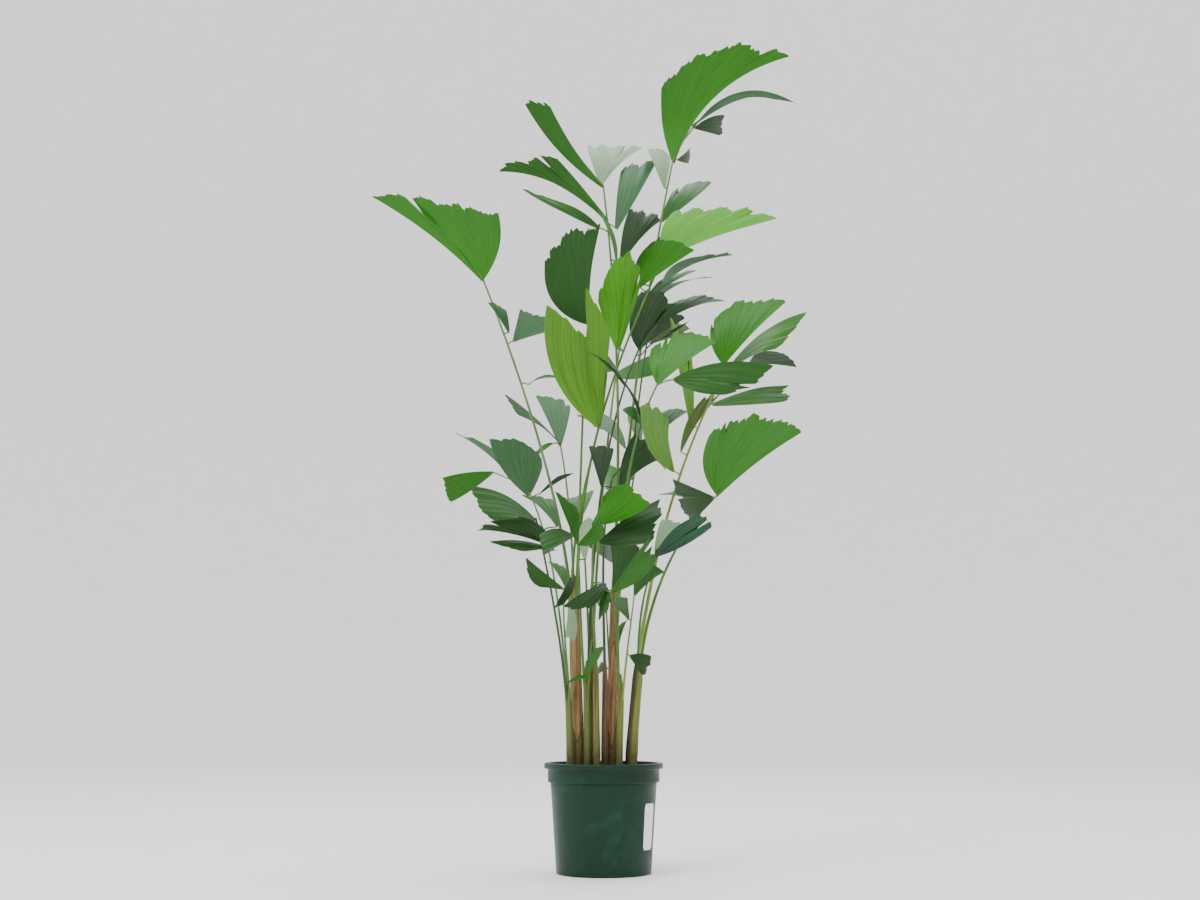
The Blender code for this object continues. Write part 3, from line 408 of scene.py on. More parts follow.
def new_mesh_object(name: str, points: list, faces: list, scale: float = CM) -> bpy.types.Object:
    """Makes a mesh object at the origin.

    Args:
        name: The object's name.
        points: Corner places, in centimetres by default.
        faces: Tuples of point numbers, turning anticlockwise seen from outside.
        scale: Metres in one unit of the points.

    Returns:
        The new object, linked to the scene.
    """
    mesh = bpy.data.meshes.new(name)
    mesh.from_pydata([Vector(point) * scale for point in points], [], faces)
    mesh.validate()
    mesh.shade_smooth()
    thing = bpy.data.objects.new(name, mesh)
    bpy.context.scene.collection.objects.link(thing)
    return thing


def strip(lower: list[int], upper: list[int], closed: bool = True) -> list[tuple[int, ...]]:
    """Quads between two rows of point numbers.

    Args:
        lower: Point numbers of the first row.
        upper: Point numbers of the second row.
        closed: Whether the rows close on themselves.

    Returns:
        The faces.
    """
    count = len(lower)
    last = count if closed else count - 1
    return [(lower[i], lower[(i + 1) % count], upper[(i + 1) % count], upper[i]) for i in range(last)]


def paint_uv(mesh: bpy.types.Mesh, places: list[tuple[float, float]]) -> None:
    """Gives a mesh a UV map from one place for each of its points.

    Args:
        mesh: The mesh.
        places: The u and v of each point.
    """
    layer = mesh.uv_layers.new(name="along")
    for loop in mesh.loops:
        layer.data[loop.index].uv = places[loop.vertex_index]


def bezier(foot: Vector, rise: Vector, bend: Vector, tip: Vector, share: float) -> Vector:
    """The point at a share of the way along a cubic curve through its foot and its tip."""
    rest = 1 - share
    return (foot * rest ** 3 + rise * (3 * rest * rest * share) + bend * (3 * rest * share * share)
            + tip * share ** 3)


@dataclass(frozen=True)
class LeafFinish:
    """A palm leaflet: thin waxy skin over fine veins that fan out from its base.

    The wax gives soft broad highlights, and the veins show as fine lighter and darker lines.
    The lighter lines along the pleat folds are partly veins and partly painted highlight.
    """

    vein_step: float = 0.1          # share of a pleat between fine veins
    vein_run: float = 1.2           # changes of the veins on their way out
    vein_relief: float = 0.6        # mm
    # Width of the lighter lines along the pleat folds, which are partly veins and partly painted highlight.
    pleat_vein_and_highlight: float = 0.09        # share of a pleat
    speck_step: float = 19.8        # mm from speck to speck
    coat: float = 0.02
    specular: float = 0.32

    def make(self, name: str, code: str, roughness: float) -> bpy.types.Material:
        """Makes the material of one tone.

        Args:
            name: The material's name.
            code: The leaflet's colour as a hex value.
            roughness: Roughness of its skin.

        Returns:
            The material.
        """
        material, tree, shader = new_material(name, roughness, Coat_Weight=self.coat, Coat_Roughness=0.25,
                                              IOR=1.45, Specular_IOR_Level=self.specular)
        add = partial(add_node, tree)
        base = hex_colour(code)
        dark = (base[0] * 0.62, base[1] * 0.68, base[2] * 0.6, 1)
        light = (min(1, base[0] * 1.35 + 0.01), min(1, base[1] * 1.22 + 0.01), min(1, base[2] * 1.2), 1)
        uv = add("ShaderNodeUVMap", {"uv_map": "along"})
        fan = add("ShaderNodeMapping", inputs={"Vector": uv,
                                               "Scale": (1 / self.vein_step, self.vein_run, 1)})
        veins = add("ShaderNodeTexNoise", {"noise_dimensions": "2D"},
                    {"Vector": fan, "Scale": 1.0, "Detail": 3.0, "Roughness": 0.6})
        shade = add("ShaderNodeValToRGB", inputs={"Fac": veins},
                    stops=((0.3, dark), (0.5, base), (0.72, light)))
        place = add("ShaderNodeSeparateXYZ", inputs={"Vector": uv})
        # Lighter lines along the pleat folds: partly veins, partly a painted highlight on the creases.
        pleat = add("ShaderNodeMath", {"operation": "PINGPONG"}, {0: place.outputs["X"], 1: 0.5})
        line = add("ShaderNodeMapRange", inputs={"Value": pleat, "From Max": self.pleat_vein_and_highlight,
                                                 "To Min": 0.55, "To Max": 0.0})
        lined = add("ShaderNodeMix", {"data_type": "RGBA"}, {0: line, 6: shade, 7: light})
        where = add("ShaderNodeTexCoord")
        specks = add("ShaderNodeTexVoronoi", inputs={"Vector": where.outputs["Object"],
                                                     "Scale": 1 / (self.speck_step * MM)})
        spot = add("ShaderNodeMapRange", inputs={"Value": specks, "From Min": 0.05, "From Max": 0.09,
                                                 "To Min": 0.75, "To Max": 0.0})
        spotted = add("ShaderNodeMix", {"data_type": "RGBA"},
                      {0: spot, 6: lined.outputs[2], 7: hex_colour("#6b5a24")})
        relief = add("ShaderNodeBump", inputs={"Strength": 0.25, "Distance": self.vein_relief * MM,
                                               "Height": veins})
        tree.links.new(spotted.outputs[2], shader.inputs["Base Color"])
        tree.links.new(relief.outputs[0], shader.inputs["Normal"])
        return material


@dataclass(frozen=True)
class StalkFinish:
    """A green frond rib: a smooth waxy rind with long faint streaks."""

    streaks: float = 9.0            # round the rib
    streak_run: float = 14.0        # changes of the streaks in a metre

    def make(self, name: str, code: str) -> bpy.types.Material:
        """Makes the material of one stem colour.

        Args:
            name: The material's name.
            code: The rib's colour as a hex value.

        Returns:
            The material.
        """
        material, tree, shader = new_material(name, 0.42, IOR=1.45)
        add = partial(add_node, tree)
        base = hex_colour(code)
        dark = (base[0] * 0.45, base[1] * 0.5, base[2] * 0.45, 1)
        uv = add("ShaderNodeUVMap", {"uv_map": "along"})
        long = add("ShaderNodeMapping", inputs={"Vector": uv, "Scale": (self.streaks, self.streak_run, 1)})
        streak = add("ShaderNodeTexNoise", {"noise_dimensions": "2D"},
                     {"Vector": long, "Scale": 1.0, "Detail": 4.0})
        shade = add("ShaderNodeValToRGB", inputs={"Fac": streak}, stops=((0.32, dark), (0.62, base)))
        tree.links.new(shade.outputs[0], shader.inputs["Base Color"])
        return material


@dataclass(frozen=True)
class BarkFinish:
    """A palm cane clothed in old leaf sheaths: dry matted fibre on some, green rind on others.

    The fibre is dull, with long dark streaks and seams, and moss darkens its foot.
    """

    streaks: float = 16.0           # round the cane
    streak_run: float = 6.0         # changes of the streaks in a metre
    patches: float = 2.0            # round the cane
    patch_run: float = 9.0          # changes of the patches in a metre
    fibre_relief: float = 1.2       # mm
    moss_foot: float = 0.22         # m, the level of the soil
    moss_height: float = 0.085      # m above the soil
    moss_grain: float = 90.0        # blots in a metre
    front: float = 0.75             # share of the way round that faces the front
    seam_width: float = 0.024       # share of the way round
    lens: tuple[float, float, float] = (0.262, 0.5, 0.2)        # low end, high end (m), half width
    wedge: tuple[float, float, float] = (0.277, 0.66, 0.34)

    def sheath(self, tree: bpy.types.NodeTree, uv: bpy.types.Node, skin: bpy.types.NodeSocket,
               span: tuple[float, float, float]) -> bpy.types.NodeSocket:
        """Draws a split sheath: dry fibre inside a pointed outline, dark seams, olive rind outside.

        Args:
            tree: The material's tree.
            uv: The node that gives the place on the cane.
            skin: Colour of the fibre.
            span: Low end and high end in m, and half the greatest width.

        Returns:
            The colour of the dressed cane.
        """
        add = partial(add_node, tree)
        low, high, half = span
        place = add("ShaderNodeSeparateXYZ", inputs={"Vector": uv})
        share = add("ShaderNodeMapRange", inputs={"Value": place.outputs["Y"], "From Min": low,
                                                  "From Max": high})
        rest = add("ShaderNodeMath", {"operation": "SUBTRACT"}, {0: 1.0, 1: share})
        both = add("ShaderNodeMath", {"operation": "MULTIPLY"}, {0: share, 1: rest})
        width = add("ShaderNodeMath", {"operation": "MULTIPLY"}, {0: both, 1: 4 * half})
        turn = add("ShaderNodeMath", {"operation": "SUBTRACT"}, {0: place.outputs["X"], 1: self.front})
        off = add("ShaderNodeMath", {"operation": "ABSOLUTE"}, {0: turn})
        inside = add("ShaderNodeMath", {"operation": "SUBTRACT"}, {0: width, 1: off})
        fill = add("ShaderNodeMapRange", inputs={"Value": inside, "From Min": -0.006, "From Max": 0.006,
                                                 "To Min": 0.7, "To Max": 0.0})
        rind = add("ShaderNodeMix", {"data_type": "RGBA"}, {0: fill, 6: skin, 7: hex_colour("#5f5a22")})
        away = add("ShaderNodeMath", {"operation": "ABSOLUTE"}, {0: inside})
        line = add("ShaderNodeMapRange", inputs={"Value": away, "From Max": self.seam_width,
                                                 "To Min": 0.95, "To Max": 0.0})
        there = add("ShaderNodeMath", {"operation": "GREATER_THAN"}, {0: width, 1: 0.004})
        seam = add("ShaderNodeMath", {"operation": "MULTIPLY"}, {0: line, 1: there})
        lined = add("ShaderNodeMix", {"data_type": "RGBA"},
                    {0: seam, 6: rind.outputs[2], 7: hex_colour("#24140a")})
        return lined.outputs[2]

    def halves(self, tree: bpy.types.NodeTree, uv: bpy.types.Node,
               skin: bpy.types.NodeSocket) -> bpy.types.NodeSocket:
        """Browns the half of a cane that faces left, where its old sheath has dried.

        Args:
            tree: The material's tree.
            uv: The node that gives the place on the cane.
            skin: Colour of the rind.

        Returns:
            The colour of the dressed cane.
        """
        add = partial(add_node, tree)
        place = add("ShaderNodeSeparateXYZ", inputs={"Vector": uv})
        turn = add("ShaderNodeMath", {"operation": "SUBTRACT"}, {0: place.outputs["X"], 1: 0.5})
        off = add("ShaderNodeMath", {"operation": "ABSOLUTE"}, {0: turn})
        dry = add("ShaderNodeMapRange", inputs={"Value": off, "From Min": 0.2, "From Max": 0.25,
                                                "To Min": 0.85, "To Max": 0.0})
        mixed = add("ShaderNodeMix", {"data_type": "RGBA"}, {0: dry, 6: skin, 7: hex_colour("#3f2a16")})
        return mixed.outputs[2]

    def make(self, name: str, bark: Bark) -> bpy.types.Material:
        """Makes the material of one kind of bark.

        Args:
            name: The material's name.
            bark: The clothing.

        Returns:
            The material.
        """
        main, second, seam = (hex_colour(code) for code in bark.value[:3])
        material, tree, shader = new_material(name, 0.72)
        add = partial(add_node, tree)
        uv = add("ShaderNodeUVMap", {"uv_map": "along"})
        long = add("ShaderNodeMapping", inputs={"Vector": uv, "Scale": (self.streaks, self.streak_run, 1)})
        streak = add("ShaderNodeTexNoise", {"noise_dimensions": "2D"},
                     {"Vector": long, "Scale": 1.0, "Detail": 6.0, "Roughness": 0.65})
        shade = add("ShaderNodeValToRGB", inputs={"Fac": streak},
                    stops=((0.3, seam), (0.46, second), (0.66, main)))
        broad = add("ShaderNodeMapping", inputs={"Vector": uv, "Scale": (self.patches, self.patch_run, 1)})
        patch = add("ShaderNodeTexNoise", {"noise_dimensions": "2D"},
                    {"Vector": broad, "Scale": 1.0, "Detail": 2.0})
        stain = add("ShaderNodeMapRange", inputs={"Value": patch, "From Min": 0.52, "From Max": 0.68,
                                                  "To Max": 0.7})
        stained = add("ShaderNodeMix", {"data_type": "RGBA"}, {0: stain, 6: shade, 7: second})
        skin = stained.outputs[2]
        if bark is Bark.SHEATHED:
            skin = self.sheath(tree, uv, skin, self.wedge)
        elif bark is Bark.LENS:
            skin = self.sheath(tree, uv, skin, self.lens)
        elif bark is Bark.SPLIT:
            skin = self.halves(tree, uv, skin)
        where = add("ShaderNodeTexCoord")
        place = add("ShaderNodeSeparateXYZ", inputs={"Vector": where.outputs["Object"]})
        foot = add("ShaderNodeMapRange", inputs={"Value": place.outputs["Z"], "From Min": self.moss_foot,
                                                 "From Max": self.moss_foot + self.moss_height,
                                                 "To Min": 1.7, "To Max": 0.0})
        blot = add("ShaderNodeTexNoise", inputs={"Vector": where.outputs["Object"],
                                                 "Scale": self.moss_grain, "Detail": 3.0})
        moss = add("ShaderNodeMath", {"operation": "MULTIPLY"}, {0: foot, 1: blot})
        mossy = add("ShaderNodeMix", {"data_type": "RGBA"}, {0: moss, 6: skin, 7: hex_colour("#3c3412")})
        relief = add("ShaderNodeBump", inputs={"Strength": 0.7, "Distance": self.fibre_relief * MM,
                                               "Height": streak})
        tree.links.new(mossy.outputs[2], shader.inputs["Base Color"])
        tree.links.new(relief.outputs[0], shader.inputs["Normal"])
        return material


@dataclass(frozen=True)
class PotPlastic:
    """Blow-moulded polyethylene: dark green, satin, with dried water marks and dust."""

    green: str = "#052a1b"
    dusty: str = "#1b4738"
    marks: float = 14.0             # in a metre
    dust: float = 120.0             # grains in a metre, coarse enough to show

    def make(self, name: str) -> bpy.types.Material:
        """Makes the material.

        Args:
            name: The material's name.

        Returns:
            The material.
        """
        material, tree, shader = new_material(name, 0.42, IOR=1.5, Specular_IOR_Level=0.22)
        add = partial(add_node, tree)
        where = add("ShaderNodeTexCoord").outputs["Object"]
        warp = add("ShaderNodeTexNoise", inputs={"Vector": where, "Scale": self.marks, "Detail": 5.0,
                                                 "Roughness": 0.6, "Distortion": 1.2})
        fine = add("ShaderNodeTexNoise", inputs={"Vector": where, "Scale": self.dust, "Detail": 4.0})
        mark = add("ShaderNodeMapRange", inputs={"Value": warp, "From Min": 0.5, "From Max": 0.7,
                                                 "To Max": 0.85})
        grain = add("ShaderNodeMath", {"operation": "MULTIPLY"}, {0: mark, 1: fine})
        mixed = add("ShaderNodeMix", {"data_type": "RGBA"},
                    {0: grain, 6: hex_colour(self.green), 7: hex_colour(self.dusty)})
        dull = add("ShaderNodeMapRange", inputs={"Value": grain, "To Min": 0.36, "To Max": 0.75})
        tree.links.new(mixed.outputs[2], shader.inputs["Base Color"])
        tree.links.new(dull.outputs[0], shader.inputs["Roughness"])
        return material


@dataclass(frozen=True)
class GroundFinish:
    """A loose dull surface of two mixed colours: potting mix, chips of bark or studio paper."""

    first: str
    second: str
    grain: float                    # mm
    relief: float = 1.0             # mm
    roughness: float = 0.95

    def make(self, name: str) -> bpy.types.Material:
        """Makes the material.

        Args:
            name: The material's name.

        Returns:
            The material.
        """
        material, tree, shader = new_material(name, self.roughness)
        add = partial(add_node, tree)
        where = add("ShaderNodeTexCoord").outputs["Object"]
        crumbs = add("ShaderNodeTexNoise", inputs={"Vector": where, "Scale": 1 / (self.grain * MM * 2),
                                                   "Detail": 5.0, "Roughness": 0.7})
        mixed = add("ShaderNodeValToRGB", inputs={"Fac": crumbs},
                    stops=((0.35, hex_colour(self.first)), (0.68, hex_colour(self.second))))
        bump = add("ShaderNodeBump", inputs={"Strength": 0.8, "Distance": self.relief * MM,
                                             "Height": crumbs})
        tree.links.new(mixed.outputs[0], shader.inputs["Base Color"])
        tree.links.new(bump.outputs[0], shader.inputs["Normal"])
        return material


POTTING_MIX = GroundFinish("#1c120b", "#4a3220", 2.0, 2.0)
BARK_CHIP = GroundFinish("#5e3a1c", "#a5682c", 3.0, 0.6, 0.85)
STICKER = GroundFinish("#e4e5e2", "#f3f4f1", 0.4, 0.02, 0.4)
STUDIO_PAPER = GroundFinish("#eeedeb", "#f3f2f0", 60.0, 0.2, 0.9)


@dataclass
class NurseryPot:
    """The round pot with its collar, rolled lip, moulded rings and drain holes. Sizes in cm."""

    base_radius: float = 10.3
    body_radius: float = 11.6
    collar_radius: float = 12.2
    lip_radius: float = 13.0
    height: float = 23.5
    lip_depth: float = 1.2
    collar_bottom: float = 19.3
    wall: float = 0.22
    floor: float = 0.35
    sides: int = 144
    drains: int = 4
    drain_radius: float = 0.9
    drain_circle: float = 6.6

    def wall_radius(self, height: float) -> float:
        """Outer radius of the body at a height."""
        return self.base_radius + (self.body_radius - self.base_radius) * height / self.collar_bottom

    def outer_profile(self) -> list[tuple[float, float]]:
        """Radius and height of the outside, from the middle of the underside to the top of the lip."""
        profile = [(0.0, 0.0), (self.drain_circle * 0.5, 0.0), (self.base_radius - 0.6, 0.0)]
        for i in range(6):
            angle = math.pi / 2 * i / 5
            profile.append((self.base_radius - 0.3 + 0.3 * math.sin(angle), 0.3 - 0.3 * math.cos(angle)))
        for i in range(1, 9):
            height = 0.3 + (self.collar_bottom - 0.8 - 0.3) * i / 8
            profile.append((self.wall_radius(height), height))
        top = self.collar_bottom
        profile += [(self.wall_radius(top), top - 0.5), (self.wall_radius(top), top - 0.06),
                    (self.wall_radius(top) + 0.06, top), (self.collar_radius - 0.12, top + 0.12),
                    (self.collar_radius, top + 0.3), (self.collar_radius + 0.02, top + 0.42),
                    (self.collar_radius + 0.02, top + 0.55), (self.collar_radius, top + 0.62)]
        lip_bottom = self.height - self.lip_depth
        profile += [(self.collar_radius, lip_bottom - 0.3), (self.collar_radius + 0.05, lip_bottom - 0.02)]
        for i in range(7):
            angle = math.pi / 2 * i / 6
            profile.append((self.lip_radius - 0.22 + 0.22 * math.sin(angle),
                            lip_bottom + 0.22 - 0.22 * math.cos(angle)))
        for i in range(9):
            angle = math.pi / 2 * i / 8
            profile.append((self.lip_radius - 0.32 + 0.32 * math.cos(angle),
                            self.height - 0.32 + 0.32 * math.sin(angle)))
        return profile

    def inner_profile(self) -> list[tuple[float, float]]:
        """Radius and height of the inside, from the lip down to the middle of the floor."""
        inner = self.collar_radius - self.wall
        profile = []
        for i in range(6):
            angle = math.pi / 2 * i / 5
            profile.append((inner + 0.2 - 0.2 * math.sin(angle), self.height - 0.2 + 0.2 * math.cos(angle)))
        top = self.collar_bottom
        profile += [(inner, top + 0.6), (inner, top + 0.45), (self.wall_radius(top) - self.wall, top - 0.1),
                    (self.base_radius - self.wall, self.floor + 0.2),
                    (self.base_radius - self.wall - 0.2, self.floor),
                    (self.drain_circle * 0.5, self.floor), (0.0, self.floor)]
        return profile

    def build(self) -> bpy.types.Object:
        """Turns the pot, cuts its drains and gives it its plastic.

        Returns:
            The pot.
        """
        pot = lathe("nursery_pot", self.outer_profile() + self.inner_profile(), self.sides)
        for i in range(self.drains):
            angle = math.tau * (i + 0.5) / self.drains
            bore = [(0, -1), (self.drain_radius, -1), (self.drain_radius, 1), (0, 1)]
            tool = lathe(f"drain_tool_{i}", bore, 24)
            way = Vector((math.cos(angle), math.sin(angle), 0))
            tool.data.transform(Matrix.Translation(way * self.drain_circle * CM))
            cut = pot.modifiers.new(f"drain {i}", "BOOLEAN")
            cut.operation = "DIFFERENCE"
            cut.object = tool
            settle(pot)
            bpy.data.objects.remove(tool, do_unlink=True)
        pot.data.shade_smooth()
        pot.data.set_sharp_from_angle(angle=math.radians(40))
        pot.data.materials.clear()
        pot.data.materials.append(PotPlastic().make("moulded polyethylene"))
        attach(pot, BODY)
        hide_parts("pot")
        return pot


def settle(thing: bpy.types.Object) -> None:
    """Turns an object's modifiers into its plain mesh.

    Args:
        thing: The object, whose modifiers are removed.
    """
    depsgraph = bpy.context.evaluated_depsgraph_get()
    mesh = bpy.data.meshes.new_from_object(thing.evaluated_get(depsgraph))
    thing.modifiers.clear()
    thing.data = mesh


def lathe(name: str, profile: list[tuple[float, float]], sides: int, scale: float = CM) -> bpy.types.Object:
    """A turned body.

    Args:
        name: The object's name.
        profile: Radius and height from the axis, out and up, and back to the axis.
        sides: Faces round it.
        scale: Metres in one unit of the profile.

    Returns:
        The object.
    """
    points: list[Triple] = []
    rows: list[list[int]] = []
    for radius, height in profile:
        if radius == 0:
            rows.append([len(points)] * sides)
            points.append((0, 0, height))
            continue
        rows.append(list(range(len(points), len(points) + sides)))
        for i in range(sides):
            angle = math.tau * i / sides
            points.append((radius * math.cos(angle), radius * math.sin(angle), height))
    faces: list[tuple[int, ...]] = []
    for lower, upper in zip(rows, rows[1:]):
        for quad in strip(lower, upper):
            faces.append(tuple(dict.fromkeys(quad)))
    return new_mesh_object(name, points, faces, scale)


@dataclass
class Soil:
    """The potting mix, uneven on top, with chips of bark on it. Sizes in cm."""

    radius: float = 11.9
    top: float = 22.0
    floor: float = 0.38
    foot_radius: float = 10.0
    rings: int = 44
    sides: int = 144
    bumps: float = 0.28
    chips_each_m2: float = 9000
    chip_size: float = 0.42
    seed: int = 5

    def lift(self, x: float, y: float) -> float:
        """How far the surface stands over its level at a place."""
        edge = min(1.0, (self.radius - math.hypot(x, y)) / 1.0)
        heap = 0.0
        for cane in CANES:
            away = math.hypot(x - cane.foot[0], y - cane.foot[1]) - cane.foot_radius
            heap = max(heap, 0.35 * math.exp(-max(0.0, away) / 0.9))
        broad = noise.noise(Vector((x * 0.5, y * 0.5, 1)))
        fine = noise.noise(Vector((x * 1.7, y * 1.7, 4)))
        return max(0.0, edge) * (heap + self.bumps * (broad + 0.5 * fine))

    def build(self) -> list[bpy.types.Object]:
        """Makes the mix and its chips.

        Returns:
            Both pieces.
        """
        profile = [(0, self.floor), (self.foot_radius, self.floor), (self.radius - 0.7, 19.2),
                   (self.radius - 0.06, 19.9), (self.radius, self.top - 0.1)]
        for i in range(self.rings):
            profile.append((self.radius * (1 - i / self.rings), self.top))
        profile.append((0, self.top))
        soil = lathe("potting_mix", profile, self.sides)
        for point in soil.data.vertices:
            if point.co.z > (self.top - 0.01) * CM:
                point.co.z += self.lift(point.co.x / CM, point.co.y / CM) * CM
        soil.data.materials.append(POTTING_MIX.make("potting mix"))
        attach(soil, BODY)
        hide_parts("soil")
        return [soil, self.scatter()]

    def scatter(self) -> bpy.types.Object:
        """Chips of bark strewn over the mix by Geometry Nodes.

        Returns:
            The chips, as one mesh.
        """
        tree = bpy.data.node_groups.new("strewn chips", "GeometryNodeTree")
        sockets = {"Surface": "Geometry", "Chips each m2": "Float", "Chip size": "Float", "Seed": "Int",
                   "Finish": "Material"}
        for name, kind in sockets.items():
            tree.interface.new_socket(name, in_out="INPUT", socket_type=f"NodeSocket{kind}")
        tree.interface.new_socket("Chips", in_out="OUTPUT", socket_type="NodeSocketGeometry")
        add = partial(add_node, tree)
        given = add("NodeGroupInput").outputs
        spread = add("GeometryNodeDistributePointsOnFaces",
                     inputs={"Mesh": given["Surface"], "Density": given["Chips each m2"],
                             "Seed": given["Seed"]})
        chip = add("GeometryNodeMeshIcoSphere", inputs={"Radius": 0.5, "Subdivisions": 1})
        turn = add("FunctionNodeRandomValue", {"data_type": "FLOAT_VECTOR"},
                   {"Max": (0.7, 0.7, math.tau), "Seed": given["Seed"]})
        size = add("FunctionNodeRandomValue", {"data_type": "FLOAT_VECTOR"},
                   {"Min": (0.35, 0.15, 0.1), "Max": (1.6, 0.5, 0.22), "Seed": given["Seed"]})
        scaled = add("ShaderNodeVectorMath", {"operation": "SCALE"},
                     {0: size.outputs["Value"], "Scale": given["Chip size"]})
        strewn = add("GeometryNodeInstanceOnPoints",
                     inputs={"Points": spread, "Instance": chip, "Rotation": turn.outputs["Value"],
                             "Scale": scaled})
        real = add("GeometryNodeRealizeInstances", inputs={"Geometry": strewn})
        dressed = add("GeometryNodeSetMaterial", inputs={"Geometry": real, "Material": given["Finish"]})
        add("NodeGroupOutput", inputs={"Chips": dressed})
        points, faces = [(0, 0, self.top + 0.12)], []
        rim, steps = 48, 16
        for ring in range(1, steps + 1):
            for k in range(rim):
                angle = math.tau * k / rim
                reach = (self.radius - 0.5) * ring / steps
                x, y = reach * math.cos(angle), reach * math.sin(angle)
                points.append((x, y, self.top + 0.1 + self.lift(x, y)))
        rows = [[0] * rim] + [list(range(1 + i * rim, 1 + (i + 1) * rim)) for i in range(steps)]
        for lower, upper in zip(rows, rows[1:]):
            for quad in strip(upper, lower):
                faces.append(tuple(dict.fromkeys(reversed(quad))))
        chips = new_mesh_object("bark_chips", points, faces)
        modifier = chips.modifiers.new("strewn", "NODES")
        modifier.node_group = tree
        values = {"Chips each m2": self.chips_each_m2, "Chip size": self.chip_size * CM, "Seed": self.seed,
                  "Finish": BARK_CHIP.make("bark chip")}
        for item in tree.interface.items_tree:
            if item.in_out == "INPUT" and item.name in values:
                modifier[item.identifier] = values[item.name]
        settle(chips)
        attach(chips, BODY)
        return chips


@dataclass
class Label:
    """A blank white sticker that follows the pot's wall. Sizes in cm and degrees."""

    bottom: float = 5.4
    top: float = 15.1
    start: float = 51
    end: float = 70
    steps: int = 16
    clearance: float = 0.06
    thickness: float = 0.05
    corner: float = 0.35

    def build(self, pot: NurseryPot) -> bpy.types.Object:
        """Makes the sticker on the pot's wall.

        Args:
            pot: The pot that it sticks to.

        Returns:
            The sticker.
        """
        points: list[Triple] = []
        rows: list[list[int]] = []
        for skin in (0, 1):
            for j in range(self.steps + 1):
                height = self.bottom + (self.top - self.bottom) * j / self.steps
                end_distance = min(height - self.bottom, self.top - height)
                past = max(0.0, self.corner - end_distance)
                cut = self.corner - math.sqrt(max(0.0, self.corner ** 2 - past ** 2))
                radius = pot.wall_radius(height) + self.clearance + self.thickness * skin
                trim = math.degrees(cut / radius)
                row = []
                for i in range(self.steps + 1):
                    share = i / self.steps
                    angle = math.radians(self.start + trim + (self.end - self.start - 2 * trim) * share)
                    row.append(len(points))
                    points.append((radius * math.sin(angle), -radius * math.cos(angle), height))
                rows.append(row)
        faces: list[tuple[int, ...]] = []
        half = self.steps + 1
        inner, outer = rows[:half], rows[half:]
        for lower, upper in zip(outer, outer[1:]):
            faces += strip(lower, upper, closed=False)
        for lower, upper in zip(inner, inner[1:]):
            faces += [tuple(reversed(quad)) for quad in strip(lower, upper, closed=False)]
        faces += strip(inner[0], outer[0], closed=False)
        faces += strip(outer[-1], inner[-1], closed=False)
        left = [row[0] for row in inner], [row[0] for row in outer]
        right = [row[-1] for row in inner], [row[-1] for row in outer]
        faces += strip(left[1], left[0], closed=False)
        faces += strip(right[0], right[1], closed=False)
        label = new_mesh_object("blank_label", points, faces)
        label.data.set_sharp_from_angle(angle=math.radians(35))
        label.data.materials.append(STICKER.make("coated sticker paper"))
        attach(label, BODY)
        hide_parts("label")
        return label


